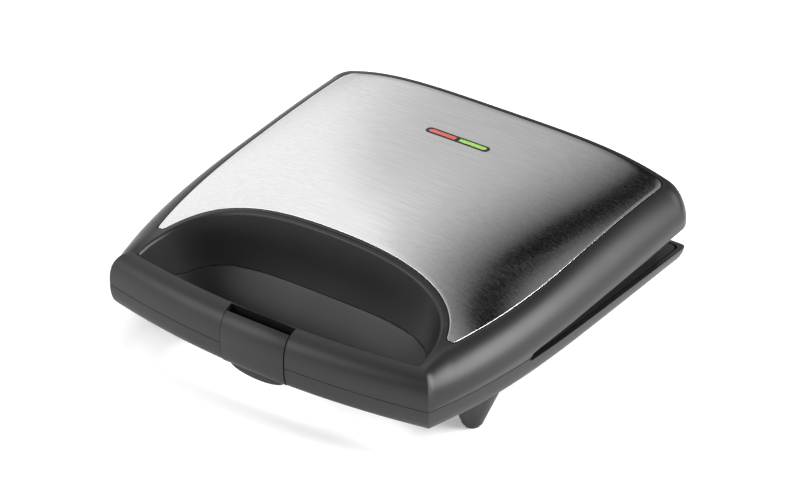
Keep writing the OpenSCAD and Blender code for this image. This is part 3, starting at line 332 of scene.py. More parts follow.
    def base_loop(self, h, grow, n=48, m=40):
        """Outline of the well in the base, whose slope starts at the raised seam."""
        a, b0 = self.well_hw(h) + grow, self.base_back(h, 0) + grow
        r = self.well_r(0) + 0.2 * grow
        t0 = math.asin(((self.y_tip - grow + r - self.well_mid_y) / b0) ** (self.well_power / 2))
        x0 = self.power_pt(a, b0, np.array(t0))[0]
        t = mix(t0, math.pi - t0, np.linspace(0, 1, 2 * n + 1))
        back = self.base_back(h, self.seam_h(self.power_pt(a, 1, t)[:, 0])) + grow
        return self.close_well(self.power_pt(a, back, t), x0, r, grow, m)

    def rim_height(self, grow=0):
        """Height above the parting line at which the well meets the lid's top, by point."""
        h = np.full(len(self.well_loop(0, 0)), self.bar_h * 1.0)
        for _ in range(8):
            p = self.well_loop(h, grow)
            h = self.top_z(p[:, 0], np.minimum(p[:, 1], self.y_edge_rear)) - self.parting
        return h

    def lip_h(self, x):
        below, above, power = self.rim_heights
        u = np.minimum(1, np.abs(x) / self.edge_hw)
        return mix(self.crown_rise + self.bar_h - below, self.bar_h + above, u ** power)

    def lip_curve(self, grow, t):
        """Outline of the well's rim as it lies on the crown, grown by a lip."""
        x = self.power_pt(self.well_hw(20), 1, t)[..., 0]
        h = self.lip_h(x)
        p = self.power_pt(self.well_hw(h) + grow, self.well_back(h) + grow, t)
        return p + np.array([0, self.well_mid_y])

    def panel_edges(self, grow, count=200, tip_r=1.2):
        """The panel's inner and outer lines, from the right tip round to the left one."""
        lip, gap = self.lip_w - grow, self.panel_gap - grow
        front = self.y_tip + self.panel_front - grow
        t = np.linspace(0, math.pi / 2, 4000)
        inner = self.lip_curve(lip, t)
        inner = inner[inner[:, 1] > front]
        counts = (4, 160, 8, 40)
        edge = self.half_loops(self.lid_corner, counts)[1][counts[0]:]
        k = np.arange(len(edge))
        edge[:, 0] = np.maximum(0, edge[:, 0] - np.where(k <= counts[1] + counts[2], gap, 0))
        edge[:, 1] -= np.where(k > counts[1], gap, 0)
        edge = edge[edge[:, 1] > front]
        x0, x1 = inner[0, 0], edge[0, 0]
        r = min(tip_r, (x1 - x0) / 2)
        a = np.linspace(0, math.pi / 2, 9)
        share = np.unique(np.concatenate([np.linspace(0, 0.06, 40), np.linspace(0.06, 1, count)]))
        lines = []
        for line, x, way in ((inner, x0, r), (edge, x1, -r)):
            turn = np.stack([x + way - way * np.sin(a), front + r - r * np.cos(a)], 1)
            line = np.concatenate([[[(x0 + x1) / 2, front]], turn, line[line[:, 1] > front + r]])
            line = even(line, share)
            lines.append(np.concatenate([line, (line * [-1, 1])[-2::-1]]))
        return lines

    def seam_h(self, x):
        u = np.minimum(1, np.abs(x) / self.seam_hw)
        return self.seam_rise * (1 - np.exp(-self.seam_power * (1 - u ** 2)))


def even(line, shares):
    """Points of a line at shares of its length."""
    run = np.concatenate([[0], np.cumsum(np.linalg.norm(np.diff(line, axis=0), axis=1))])
    return np.stack([np.interp(shares, run / run[-1], line[:, i]) for i in range(line.shape[1])], 1)


def both_sides(half):
    """Closes a half loop with its mirror image."""
    return np.concatenate([half, (half * np.array([-1] + [1] * (half.shape[1] - 1)))[-2:0:-1]])


# ---------------------------------------------------------------- mesh building

def build(name, points, faces):
    """Makes an object from points in millimetres."""
    mesh = bpy.data.meshes.new(name)
    mesh.from_pydata([tuple(p) for p in np.asarray(points) * MM], [], [tuple(map(int, f)) for f in faces])
    whole = bmesh.new()
    whole.from_mesh(mesh)
    bmesh.ops.recalc_face_normals(whole, faces=whole.faces)
    whole.to_mesh(mesh)
    whole.free()
    piece = bpy.data.objects.new(name, mesh)
    bpy.context.scene.collection.objects.link(piece)
    return piece


def walls(n, rows):
    """Faces between rings of n points, with the first ring closed."""
    k, after = np.arange(n), (np.arange(n) + 1) % n
    faces = [tuple(reversed(range(n)))]
    for i in range(0, (rows - 1) * n, n):
        faces += list(np.stack([k, after, after + n, k + n], 1) + i)
    return faces


def loft(name, loops, heights):
    """A closed solid between plan outlines, each at its height."""
    n = len(loops[0])
    points = np.concatenate([np.column_stack([p, np.full(n, z) if np.isscalar(z) else z])
                             for p, z in zip(loops, heights)])
    return build(name, points, walls(n, len(loops)) + [tuple((len(loops) - 1) * n + np.arange(n))])


def prism(name, outline, low, high):
    return loft(name, [np.asarray(outline, float)] * 2, [low, high])


def block(name, low, high):
    (x0, y0, z0), (x1, y1, z1) = low, high
    return prism(name, [(x0, y0), (x1, y0), (x1, y1), (x0, y1)], z0, z1)


def rod(name, centre, axis, radius, span, sides=48):
    """A cylinder of the given length from centre along axis ('x', 'y' or 'z')."""
    t = np.linspace(0, 2 * np.pi, sides, endpoint=False)
    piece = prism(name, np.stack([radius * np.cos(t), radius * np.sin(t)], 1), 0, span)
    turn = {"x": Matrix.Rotation(math.pi / 2, 4, "Y"), "y": Matrix.Rotation(-math.pi / 2, 4, "X"),
            "z": Matrix.Identity(4)}[axis]
    piece.data.transform(Matrix.Translation(Vector(centre) * MM) @ turn)
    return piece


def slab(name, outline, axis, low, high):
    """Extrudes an outline along X (0) or Y (1). Its points give the other two."""
    n = len(outline)
    points = np.concatenate([np.insert(np.asarray(outline, float), axis, v, axis=1) for v in (low, high)])
    return build(name, points, walls(n, 2) + [tuple(n + np.arange(n))])


def fuse(piece, others, how="DIFFERENCE"):
    """Cuts, joins or intersects solids, and removes the tools."""
    for other in others:
        step = piece.modifiers.new("step", "BOOLEAN")
        step.operation = how
        step.object = other
        step.solver = "MANIFOLD"
    settle(piece)
    for other in others:
        mesh = other.data
        bpy.data.objects.remove(other)
        bpy.data.meshes.remove(mesh)
    return piece


def settle(piece):
    """Turns a piece's modifiers into plain mesh."""
    seen = piece.evaluated_get(bpy.context.evaluated_depsgraph_get())
    mesh = bpy.data.meshes.new_from_object(seen)
    old = piece.data
    piece.modifiers.clear()
    piece.data = mesh
    bpy.data.meshes.remove(old)
    mesh.name = piece.name
    return piece


def round_edges(piece, millimetres, angle=40, segments=3):
    """Softens the sharp edges of a moulded or stamped piece."""
    step = piece.modifiers.new("round", "BEVEL")
    step.width = millimetres * MM
    step.segments = segments
    step.limit_method = "ANGLE"
    step.angle_limit = math.radians(angle)
    step.use_clamp_overlap = True
    return settle(piece)


def shade(piece, angle=32):
    """Smooths the shading, but keeps edges sharper than the angle."""
    mesh = piece.data
    mesh.shade_smooth()
    mesh.set_sharp_from_angle(angle=math.radians(angle))
    return piece


def dress(piece, material):
    piece.data.materials.clear()
    piece.data.materials.append(material)


def place(piece, body, slot, *nodes):
    """Gives a piece its finish, its body and the solids that it stands for."""
    if not piece.data.polygons:
        raise RuntimeError(piece.name + " came out empty")
    dress(piece, finishes()[slot])
    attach(piece, body)
    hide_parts(*nodes)


def form():
    return Form(bpy.context.scene.donut_maker_sizes)


# ---------------------------------------------------------------- materials

def new_material(name):
    """A material, its node tree and the object's coordinates, or None for the last two if
    it is made already."""
    old = bpy.data.materials.get(name)
    if old:
        return old, None, None
    material = bpy.data.materials.new(name)
    material.use_nodes = True
    material.node_tree.nodes.clear()
    return material, material.node_tree, add(material.node_tree, "ShaderNodeTexCoord").outputs["Object"]


def add(tree, kind, feeds=None, stops=(), **settings):
    """Adds a node. feeds maps an input to a value or to another node's output, and stops
    fills a colour ramp with (position, level or colour)."""
    node = tree.nodes.new(kind)
    for name, value in settings.items():
        setattr(node, name, value)
    for name, value in (feeds or {}).items():
        if isinstance(value, bpy.types.NodeSocket):
            tree.links.new(value, node.inputs[name])
        else:
            node.inputs[name].default_value = value
    for _ in range(len(stops) - 2):
        node.color_ramp.elements.new(0.5)
    for element, (at, level) in zip(node.color_ramp.elements if stops else (), stops):
        element.position = at
        element.color = (level, level, level, 1) if np.isscalar(level) else (*level, 1)
    return node


def noise(tree, at, millimetres, detail, **feeds):
    """Noise with features of about the given size."""
    feeds = {"Vector": at, "Scale": 1 / (millimetres * MM), "Detail": detail, **feeds}
    return add(tree, "ShaderNodeTexNoise", feeds).outputs["Fac"]


def stretched(tree, at, scale):
    return add(tree, "ShaderNodeMapping", {"Vector": at, "Scale": scale}).outputs["Vector"]


def ranged(tree, value, low=0, high=1, start=0, stop=1):
    """Maps start to stop onto low to high."""
    return add(tree, "ShaderNodeMapRange", {"Value": value, "From Min": start, "From Max": stop,
                                            "To Min": low, "To Max": high}).outputs["Result"]


def maths(tree, operation, *values):
    return add(tree, "ShaderNodeMath", dict(enumerate(values)), operation=operation).outputs[0]


def tone_between(tree, factor, low, high):
    """Colour that runs from low to high with the factor."""
    return add(tree, "ShaderNodeMix", {"Factor": factor, "A": (*low, 1), "B": (*high, 1)},
               data_type="RGBA").outputs["Result"]


def surface(tree, height, strength, depth, feeds):
    """Ends a material: relief of the given depth in millimetres, shader and output."""
    bump = add(tree, "ShaderNodeBump", {"Height": height, "Strength": strength, "Distance": depth * MM})
    shader = add(tree, "ShaderNodeBsdfPrincipled", {**feeds, "Normal": bump.outputs["Normal"]})
    add(tree, "ShaderNodeOutputMaterial", {"Surface": shader.outputs["BSDF"]})


def moulded_plastic(name, base, rough, grain_mm=0.9, depth=0.012, spread=0.10):
    """Moulded ABS: spark-eroded tools leave a fine even grain, so it looks satin, with soft
    highlights. The real grain is about 0.1 mm and is drawn coarser, to show."""
    material, tree, at = new_material(name)
    if tree is None:
        return material
    cloud, grain = noise(tree, at, 28, 3), noise(tree, at, grain_mm, 2)
    low, high = [tuple(min(1, c * k) for c in base) for k in (1 - spread, 1 + spread)]
    surface(tree, grain, 0.35, depth, {
        "Base Color": tone_between(tree, cloud, low, high),
        "Roughness": ranged(tree, cloud, rough - 0.04, rough + 0.04),
        "IOR": 1.53, "Specular IOR Level": 0.36})
    return material


def worked_metal(name, base, rough, grain_mm, stretch=(1, 1, 1), depth=0.01, metallic=1.0, mottle=0.12,
                 mottle_mm=9.0, spread=0.08):
    """Bare metal: fine marks along the way it was worked, over a slow mottle of tone and gloss."""
    material, tree, at = new_material(name)
    if tree is None:
        return material
    marks = noise(tree, stretched(tree, at, stretch), grain_mm, 3, Roughness=0.6)
    dark = tuple(c * (1 - mottle) for c in base)
    surface(tree, marks, 0.4, depth, {
        "Base Color": tone_between(tree, noise(tree, at, mottle_mm, 4), dark, base),
        "Roughness": ranged(tree, marks, max(0.05, rough - spread), rough + spread), "Metallic": metallic})
    return material


def brushed_stainless(colours):
    """Stainless sheet brushed from side to side: long hair lines, which spread reflections
    across the brushing. Real lines are about 0.05 mm and are drawn 0.5 to 1.1 mm
    wide, or they wouldn't show."""
    material, tree, at = new_material("brushed_stainless_steel")
    if tree is None:
        return material
    fine = noise(tree, stretched(tree, at, (0.012, 1, 1)), 0.5, 3, Roughness=0.65)
    wide = noise(tree, stretched(tree, at, (0.035, 1, 1)), 1.1, 4, Roughness=0.7)
    marks = maths(tree, "ADD", fine, wide)
    level = ranged(tree, marks, start=0.7, stop=1.3)
    dark, pale = [tuple(min(1, c * k) for c in colours.steel) for k in (0.87, 1.07)]
    along = add(tree, "ShaderNodeTangent", axis="X", direction_type="RADIAL")
    surface(tree, marks, 0.5, 0.024, {
        "Base Color": tone_between(tree, level, dark, pale), "Roughness": ranged(tree, level, 0.11, 0.20),
        "Metallic": 1.0, "Anisotropic": 0.3, "Tangent": along.outputs["Tangent"]})
    return material


def clear_moulding(name, base, rough=0.12, through=0.55):
    """Moulded acrylic: glossy, coloured in depth, with a little light passing through."""
    material, tree, at = new_material(name)
    if tree is None:
        return material
    cloud = noise(tree, at, 4, 2)
    dim = tuple(c * 0.8 for c in base)
    surface(tree, cloud, 0.1, 0.05, {
        "Base Color": tone_between(tree, cloud, dim, base), "Roughness": rough, "IOR": 1.49,
        "Transmission Weight": through})
    return material


def finishes():
    """Every finish on the object, by the record's material slot."""
    c = bpy.context.scene.donut_maker_colours
    return {
        # moulded ABS, spark-eroded tool: even satin with soft highlights
        "moulded_black": moulded_plastic("moulded_ABS_satin", c.black_plastic, 0.40),
        # moulded glass-filled nylon: duller, with a coarser grain
        "inner_black": moulded_plastic("moulded_nylon_matt", c.inner_plastic, 0.55, grain_mm=1.4, depth=0.02),
        "panel_steel": brushed_stainless(c),
        # sprayed and baked PTFE on cast aluminium: dark, smooth, a slight orange peel
        "coated_aluminium": worked_metal("nonstick_coated_cast_aluminium", c.coating, 0.36, 1.6, metallic=0.0,
                                         depth=0.05, mottle=0.2, mottle_mm=14),
        # drawn steel tube, annealed and heat tinted: warm grey with soft bands
        "heater_sheath": worked_metal("drawn_steel_heat_tinted", linear("#8d8378"), 0.42, 1.0,
                                      mottle=0.45, mottle_mm=16),
        # cold rolled sheet, hot-dip aluminised: bright, with faint spangle
        "sheet_metal": worked_metal("pressed_aluminised_sheet", linear("#c2c4c6"), 0.34, 0.6, (1, 0.06, 1),
                                    mottle=0.2, mottle_mm=7),
        # zinc plate, clear passivated: pale, slightly cloudy shine
        "screw_steel": worked_metal("zinc_plated_steel", linear("#b4b6ba"), 0.30, 0.8,
                                    mottle=0.2, mottle_mm=2),
        # turned and ground bar: tight lines round the pin
        "pin_steel": worked_metal("turned_steel", linear("#b9babd"), 0.25, 0.5, (1, 0.05, 0.05), mottle_mm=3),
        # moulded nitrile rubber: deep matt black
        "foot_rubber": moulded_plastic("moulded_rubber_matt", c.rubber, 0.78, grain_mm=0.7, depth=0.03),
        "red_clear": clear_moulding("moulded_acrylic_red", c.red),
        "green_clear": clear_moulding("moulded_acrylic_green", c.green),
        "lamp_glass": clear_moulding("blown_lamp_glass", linear("#f2e6d6"), 0.06, 0.85),
        # pressed and fired steatite with a thin glaze
        "terminal_ceramic": moulded_plastic("glazed_steatite", linear("#ddd8cb"), 0.22, grain_mm=2.5,
                                            depth=0.02, spread=0.05),
        "terminal_brass": worked_metal("turned_brass", linear("#d3b36a"), 0.28, 0.6,
                                       (0.05, 0.05, 1), mottle_mm=2),
        # compression-moulded phenolic: brown-black with a dull gloss
        "thermostat_body": moulded_plastic("moulded_phenolic", linear("#2e2723"), 0.33, grain_mm=1.1),
        "fuse_steel": worked_metal("nickel_plated_can", linear("#cfcfca"), 0.20, 0.7, mottle_mm=3),
    }


# ---------------------------------------------------------------- shells

LID_COUNTS = (36, 96, 10, 36)
LID_RINGS = (6, 26)
CORE_COUNTS = (20, 48, 5, 20)
CORE_RINGS = (3, 12)


def lid_body(name, f, inset=0, drop=0, low=0, counts=LID_COUNTS, rings=LID_RINGS):
    """Solid under the lid's outer surface, moved in by inset and down by drop."""
    nf, ns, nc, nr = counts
    rim, edge, run, back = f.half_loops(f.lid_corner, counts)
    d = rim - edge
    size = np.linalg.norm(d, axis=1)[:, None]
    n = d / size
    swell = mix(f.bulge * (1 - (1 - run) ** 3), f.swell_back, back) - inset
    swell_z = mix(mix(f.swell_z[0], f.swell_z[1], run), f.swell_z[2], back)
    top = f.top_z(edge[:, 0], edge[:, 1]) - drop
    front = np.arange(len(rim)) <= nf
    side = np.where(front, f.bar_round, mix(f.side_round[0], f.side_round[1], clamp01(1.5 * run)))
    p = mix(side, f.back_round, back)
    widest = rim + n * swell[:, None]
    inner = edge - n * np.minimum(inset, size / 3)
    loops = []
    for u in np.arange(rings[0]) / rings[0]:
        q = rim + n * mix(-inset, swell, math.sin(math.pi / 2 * u))[:, None]
        loops.append(np.column_stack([q, f.parting + u * swell_z]))
    for a in np.linspace(0, math.pi / 2, rings[1] + 1):
        across = (1 - max(0, math.cos(a)) ** (2 / p))[:, None]
        q = widest * (1 - across) + inner * across
        loops.append(np.column_stack([q, mix(f.parting + swell_z, top, math.sin(a) ** (2 / p))]))
    loops[0][:, 2] -= low
    loops = [both_sides(q) for q in loops]
    n_loop, last, cols, n_row = len(loops[0]), (len(loops) - 1) * len(loops[0]), 2 * nr, nf + ns + nc
    points = list(np.concatenate(loops))
    rows = []
    for i in range(1, n_row + 1):
        if i == n_row:
            rows.append([last + n_row + m for m in range(cols + 1)])
            continue
        x = loops[-1][i, 0] * (1 - 2 * np.arange(1, cols) / cols)
        y = np.full(cols - 1, loops[-1][i, 1])
        z = np.minimum(f.top_z(x, y), f.crown_z(y)) - drop
        rows.append([last + i] + list(range(len(points), len(points) + cols - 1)) + [last + n_loop - i])
        points += list(np.column_stack([x, y, z]))
    faces = walls(n_loop, len(loops))
    faces += [(last, rows[0][m], rows[0][m + 1]) for m in range(cols)]
    for a, b in zip(rows, rows[1:]):
        faces += [(a[m], b[m], b[m + 1], a[m + 1]) for m in range(cols)]
    return build(name, points, faces)


def crown_solid(name, f, drop, counts=LID_COUNTS):
    """Everything under the crown, lowered by drop."""
    edge = f.half_loops(f.lid_corner, counts)[1]
    ys = np.append(edge[counts[0]:counts[0] + counts[1] + 1, 1], f.y_edge_rear + 0.5)
    u = np.linspace(-1.08, 1.08, 2 * counts[3] + 1)
    x = u[None, :] * f.edge_x(ys)[:, None]
    y = np.broadcast_to(ys[:, None], x.shape)
    return sheet_solid(name, x, y, f.top_z(x, y) - drop, np.full(x.shape, f.parting + 6))


def sheet_solid(name, x, y, top, low):
    """A closed solid between two height fields on one grid."""
    rows, cols = x.shape
    points = np.concatenate([np.stack([x, y, z], -1).reshape(-1, 3) for z in (top, low)])
    n = rows * cols
    at = np.arange(n).reshape(rows, cols)
    sheet = np.stack([at[:-1, :-1], at[1:, :-1], at[1:, 1:], at[:-1, 1:]], -1).reshape(-1, 4)
    ring = np.concatenate([at[0, :], at[1:, -1], at[-1, -2::-1], at[-2:0:-1, 0]])
    after = np.roll(ring, -1)
    skirt = np.stack([ring, after, after + n, ring + n], 1)
    return build(name, points, list(sheet) + list(sheet[:, ::-1] + n) + list(skirt))


def bar_prism(f, low, high, span=120, steps=48):
    x = np.linspace(-span, span, steps + 1)
    line = np.stack([x, f.bar_rear_y(x)], 1)
    return prism("bar", np.concatenate([line, [[span, f.y_front - 50], [-span, f.y_front - 50]]]), low, high)


def well_cutter(f, grow, rounded=0.0):
    """Space of the handle well through the lid, with its rim rounded over."""
    top = f.rim_height(grow)
    stop = np.maximum(2, top - rounded - 0.5)
    loops, heights = [], []
    for share in (0, 0.15, 0.35, 0.55, 0.75, 0.9, 1):
        h = share * stop
        loops.append(f.well_loop(h, grow))
        heights.append(f.parting + h - (1 if share == 0 else 0))
    for a in (np.linspace(0, math.pi / 2, 9) if rounded else ()):
        h = top - rounded * (1 - math.sin(a))
        loops.append(f.well_loop(h, grow + rounded * (1 - math.cos(a))))
        heights.append(f.parting + h)
    final = loops[-1] if rounded else f.well_loop(top + 1, grow)
    loops.append(final)
    heights.append(np.full(len(top), f.parting + TALL))
    return loft("well", loops, heights)


def below_seam(f, up):
    x = np.linspace(-f.seam_hw, f.seam_hw, 65)
    line = np.stack([x, f.parting + f.seam_h(x) + up], 1)
    outline = np.concatenate([line, [[f.seam_hw, f.parting - 1], [-f.seam_hw, f.parting - 1]]])
    return slab("seam", outline, 1, *(f.y_corner + np.array(SEAM_BAND)))


def side_gap(f):
    """Space between the lid's sloping lower edge and the base, with a smooth line."""
    knots = np.array([(f.y_notch, 3.4), (f.y_notch + 5, 4.8), (f.y_notch + 45, 0.57 * f.rear_gap),
                      (f.y_rear, f.rear_gap), (f.y_rear + 20, f.rear_gap + 1)])
    line = knots + [0, f.parting]
    outline = np.concatenate([[(f.y_notch, f.parting - 5)], line, [(f.y_rear + 20, f.parting - 5)]])
    return slab("gap", outline, 0, -f.body_w, f.body_w)


HINGE = SimpleNamespace(x=78, inset=8, up=8, ear_r=5, lug_w=8, ear_w=4, side=0.4, slot=18, pin_r=2)
SCREW = SimpleNamespace(in_x=6, in_y=8, r=1.9, boss_r=4.2, lid_hole=12.7, base_hole=20)
PLATE = SimpleNamespace(t=4, clear=0.8, frame_t=2.2, shield_z=23.0625, stud_x=74, stud_r=3.2, under=3)
GLAND = SimpleNamespace(up=4.2, r=4.8, flange_r=5.7, inset=6, reach=7.8)
LATCH = SimpleNamespace(gap=0.5, pin_in=5.2, pin_up=11, knuckle_r=3, pin_r=1.25, hook_h=2.6,
                        catch_gap=0.4, hook_l=3, tongue_h=4.6, half=25.4, lap=0.6, clear=0.6)
FEET = SimpleNamespace(front_x=94, front_y=47, rear_x=78, rear_y=24, pad_h=1.2, tip_round=1.6)
SEAM_BAND = (26, 60)  # from the front corners, the depth in which the seam is raised
MOULDS = SimpleNamespace(side=11.5, edge=7.5, clear=2)
PANEL_DROP = 0.15
TALL = 60             # reach of the posts and tools that go through the lid's top


def screw_rods(f, name, z, radius, span):
    """An upright rod at each of a plate's screws."""
    return [rod(name, (x * (f.plate_w / 2 - SCREW.in_x), f.plate_y + y * (f.plate_d / 2 - SCREW.in_y), z),
                "z", radius, span) for x in (-1, 1) for y in (-1, 1)]


class DONUTMAKER_OT_lid(bpy.types.Operator):
    """Moulded lid shell with the handle bar, the well and its rounded rim"""
    bl_idname = "donutmaker.lid"
    bl_label = "Lid shell"

    def execute(self, context):
        f = form()
        hinge_y, hinge_z = f.y_rear - HINGE.inset, f.parting + HINGE.up
        upper_face = f.rim_z + PLATE.t + PLATE.clear
        recess = f.panel_t + PANEL_DROP
        lid = lid_body("lid_shell", f)
        core = lid_body("core", f, f.wall, f.wall + recess, 1, CORE_COUNTS, CORE_RINGS)
        fuse(core, [well_cutter(f, f.wall), bar_prism(f, 0, f.bar_z + 5)])
        posts = screw_rods(f, "post", upper_face + PLATE.t + PLATE.frame_t, SCREW.boss_r, TALL)
        posts += [rod("post", (s * PLATE.stud_x, f.plate_y, upper_face + PLATE.shield_z), "z",
                      PLATE.stud_r, TALL) for s in (-1, 1)]
        posts = fuse(posts[0], posts[1:], "UNION")
        limit = lid_body("limit", f, f.wall / 2, f.wall / 2 + recess, 0, CORE_COUNTS, CORE_RINGS)
        fuse(posts, [limit], "INTERSECT")
        fuse(lid, [core])
        lugs = []
        for s in (-1, 1):
            x = s * HINGE.x - HINGE.lug_w / 2
            lugs.append(rod("lug", (x, hinge_y, hinge_z), "x", HINGE.ear_r, HINGE.lug_w))
            lugs.append(block("lug", (x, hinge_y - HINGE.ear_r, hinge_z),
                              (x + HINGE.lug_w, f.y_rear - f.wall / 2, hinge_z + 18)))
        fuse(lid, [posts] + lugs, "UNION")
        gap = side_gap(f)
        keep = [block("keep", (s * HINGE.x - HINGE.lug_w / 2 - 0.01, hinge_y - HINGE.ear_r - 1, f.parting),
                      (s * HINGE.x + HINGE.lug_w / 2 + 0.01, hinge_y + HINGE.ear_r, f.parting + 20))
                for s in (-1, 1)]
        fuse(gap, keep)
        inner, outer = f.panel_edges(f.panel_gap)
        bed = prism("bed", np.concatenate([outer, inner[-2:0:-1]]), f.parting + 10, f.parting + TALL)
        fuse(bed, [crown_solid("crown", f, recess)])
        w = f.latch_w / 2 + LATCH.gap
        pocket = block("pocket", (-w, f.y_front - 10, f.parting - 1),
                       (w, f.y_front + f.bar_t - 1.4, f.bar_z + 4))
        tools = [well_cutter(f, 0, f.well_round), below_seam(f, f.seam / 2), gap, bed, pocket]
        for s in (-1, 1):
            tools.append(rod("bore", (s * HINGE.x - HINGE.lug_w, hinge_y, hinge_z), "x",
                             HINGE.pin_r + 0.05, 2 * HINGE.lug_w))
            tools.append(rod("pin", (s * LATCH.half - (8 if s > 0 else 0), f.y_front + LATCH.pin_in,
                                     f.parting + LATCH.pin_up), "x", LATCH.pin_r, 8))
        tools += screw_rods(f, "screw", upper_face, SCREW.r, SCREW.lid_hole)
        tools.append(stadium("window", f, f.window_l + 0.3, f.window_w + 0.3, f.crown_z(f.window_y) - 20, 40))
        fuse(lid, tools)
        shade(lid, 28)
        place(lid, "lid", "moulded_black", "upper_housing")
        return {"FINISHED"}


def stadium(name, f, long, wide, z, h, sides=24):
    """A round-ended prism on the window's line."""
    t = np.linspace(-math.pi / 2, math.pi / 2, sides + 1)
    half = np.stack([(long - wide) / 2 + wide / 2 * np.cos(t), wide / 2 * np.sin(t)], 1)
    outline = np.concatenate([half, -half]) + [0, f.window_y]
    return prism(name, outline, z, z + h)


class DONUTMAKER_OT_base(bpy.types.Operator):
    """Moulded base shell with its feet, belly and the rear wall of the well"""
    bl_idname = "donutmaker.base"
    bl_label = "Base shell"

    def execute(self, context):
        f = form()
        counts = (30, 80, 6, 30)
        lower_face = f.rim_z + PLATE.t
        hinge_y, hinge_z = f.y_rear - HINGE.inset, f.parting + HINGE.up
        top = f.parting - f.seam

        def band(name, inset, low, high, steps=14):
            s = np.linspace(0, 1, steps + 1)
            return loft(name, [f.band_loop(1 - math.sin(math.pi / 2 * v), inset, counts) for v in s],
                        [mix(low, high, v * v) for v in s])

        def well(grow):
            steps = [-f.band_h - 1, -f.band_h / 2, *(k * f.seam_rise / 4 for k in range(5)), f.seam_rise + 2]
            return loft("well", [f.base_loop(h, grow) for h in steps], [f.parting + h for h in steps])

        base = band("base_shell", 0, f.band_z, top)
        core = band("core", f.wall, f.band_z + f.wall, f.parting + 1)
        fuse(core, [well(f.wall), bar_prism(f, 0, f.parting + 5)])
        fuse(base, [core])
        back = below_seam(f, -f.seam / 2)
        fuse(back, [well(f.wall)], "INTERSECT")
        shield_z = PLATE.shield_z
        belly_z = lower_face - shield_z - PLATE.under - f.wall
        wide = f.plate_w - 2 * MOULDS.side + 2 * (MOULDS.clear + f.wall)
        deep = f.plate_d - 2 * MOULDS.edge + 2 * (MOULDS.clear + f.wall)

        def belly(inset, low, high, slope=6.0):
            # inset, corner radius and height of each ring, from the belly's floor up
            rings = [(slope + 1.1, 9, low), (slope + 0.35, 9.7, low + 0.3), (slope - 0.1, 10, low + 1.2),
                     (slope * 0.45, 12, mix(low, f.band_z, 0.55)),
                     (slope * 0.12, 13.5, mix(low, f.band_z, 0.88)),
                     (0, 14, f.band_z), (0, 14, high)]
            plans = [rounded_box(wide - 2 * e - 2 * inset, deep - 2 * e - 2 * inset, r, f.plate_y)
                     for e, r, _ in rings]
            return loft("belly", plans, [z for _, _, z in rings])

        adds = [back, belly(0, belly_z, f.band_z + 1)]
        feet = [(s * FEET.front_x, f.y_corner + FEET.front_y) for s in (-1, 1)]
        feet += [(s * FEET.rear_x, f.y_rear - FEET.rear_y) for s in (-1, 1)]
        for spot in feet:
            adds.append(foot(f, spot))
        adds += screw_rods(f, "post", f.band_z + 1, SCREW.boss_r, f.rim_z - PLATE.frame_t - f.band_z - 1)
        for s in (-1, 1):
            for e in (-1, 1):
                x = s * HINGE.x + e * (HINGE.lug_w + HINGE.ear_w + 2 * HINGE.side) / 2 - HINGE.ear_w / 2
                adds.append(rod("ear", (x, hinge_y, hinge_z), "x", HINGE.ear_r, HINGE.ear_w))
                adds.append(block("ear", (x, hinge_y - HINGE.ear_r, f.band_z + 1),
                                  (x + HINGE.ear_w, hinge_y + 0.4, hinge_z)))
        gland_z = f.band_z + GLAND.up
        adds.append(rod("gland", (0, f.y_rear - GLAND.reach, gland_z), "y", GLAND.flange_r + 1.9,
                        GLAND.reach - 0.01))
        fuse(base, adds, "UNION")
        hollow = belly(f.wall, belly_z + f.wall, f.band_z + f.wall + 1)
        fuse(hollow, [rod("stud", (s * PLATE.stud_x, f.plate_y, 0), "z", PLATE.stud_r, lower_face - shield_z)
                      for s in (-1, 1)])
        rim = block("rim", (-f.body_w, f.y_notch, f.rim_z), (f.body_w, f.y_notch + f.body_d, f.rim_z + 40))
        fuse(rim, [block("slot", (s * HINGE.x - HINGE.slot / 2, hinge_y - HINGE.inset, f.rim_z - 1),
                         (s * HINGE.x + HINGE.slot / 2, hinge_y + HINGE.ear_r + 0.1, f.rim_z + 24))
                   for s in (-1, 1)])
        cuts = [hollow, rim, well(0)]
        cuts += screw_rods(f, "screw", f.band_z + f.wall + 1, SCREW.r, SCREW.base_hole)
        cuts += [rod("pin", (s * HINGE.x - HINGE.slot / 2, hinge_y, hinge_z), "x", HINGE.pin_r,
                     HINGE.slot) for s in (-1, 1)]
        cuts += [rod("gland", (0, f.y_rear - GLAND.inset - 1, gland_z), "y", GLAND.r, GLAND.inset + 5),
                 rod("gland", (0, f.y_rear - GLAND.reach - 1, gland_z), "y", GLAND.flange_r + 0.3,
                     GLAND.reach + 1 - GLAND.inset)]
        w = f.latch_w / 2 + LATCH.gap
        catch = f.y_front + f.band_tuck + f.latch_t - LATCH.lap
        room = catch + LATCH.hook_l + LATCH.clear
        low, above = f.band_z, 2 * LATCH.hook_h + LATCH.catch_gap
        cuts += [block("recess", (-w, f.y_front - 10, low - 5), (w, catch, low + f.band_h + 5)),
                 block("recess", (-w, f.y_front - 10, low - 5),
                       (w, room, low + LATCH.hook_h + LATCH.catch_gap)),
                 block("recess", (-w, f.y_front - 10, low + above),
                       (w, room, low + above + f.band_h))]
        cuts += [rod("pad", (x, y, -1), "z", f.foot_tip_r - 1.4, 1 + FEET.pad_h + 1.5) for x, y in feet]
        fuse(base, cuts)
        shade(base, 28)
        place(base, "base", "moulded_black", "base_housing")
        return {"FINISHED"}


def rounded_box(w, d, r, y, steps=10):
    """Plan outline of a box with round corners."""
    parts = []
    for q, (sx, sy) in enumerate(((1, 1), (-1, 1), (-1, -1), (1, -1))):
        t = math.pi / 2 * (q + np.linspace(0, 1, steps + 1))
        parts.append(np.stack([sx * (w / 2 - r) + r * np.cos(t), y + sy * (d / 2 - r) + r * np.sin(t)], 1))
    return np.concatenate(parts)


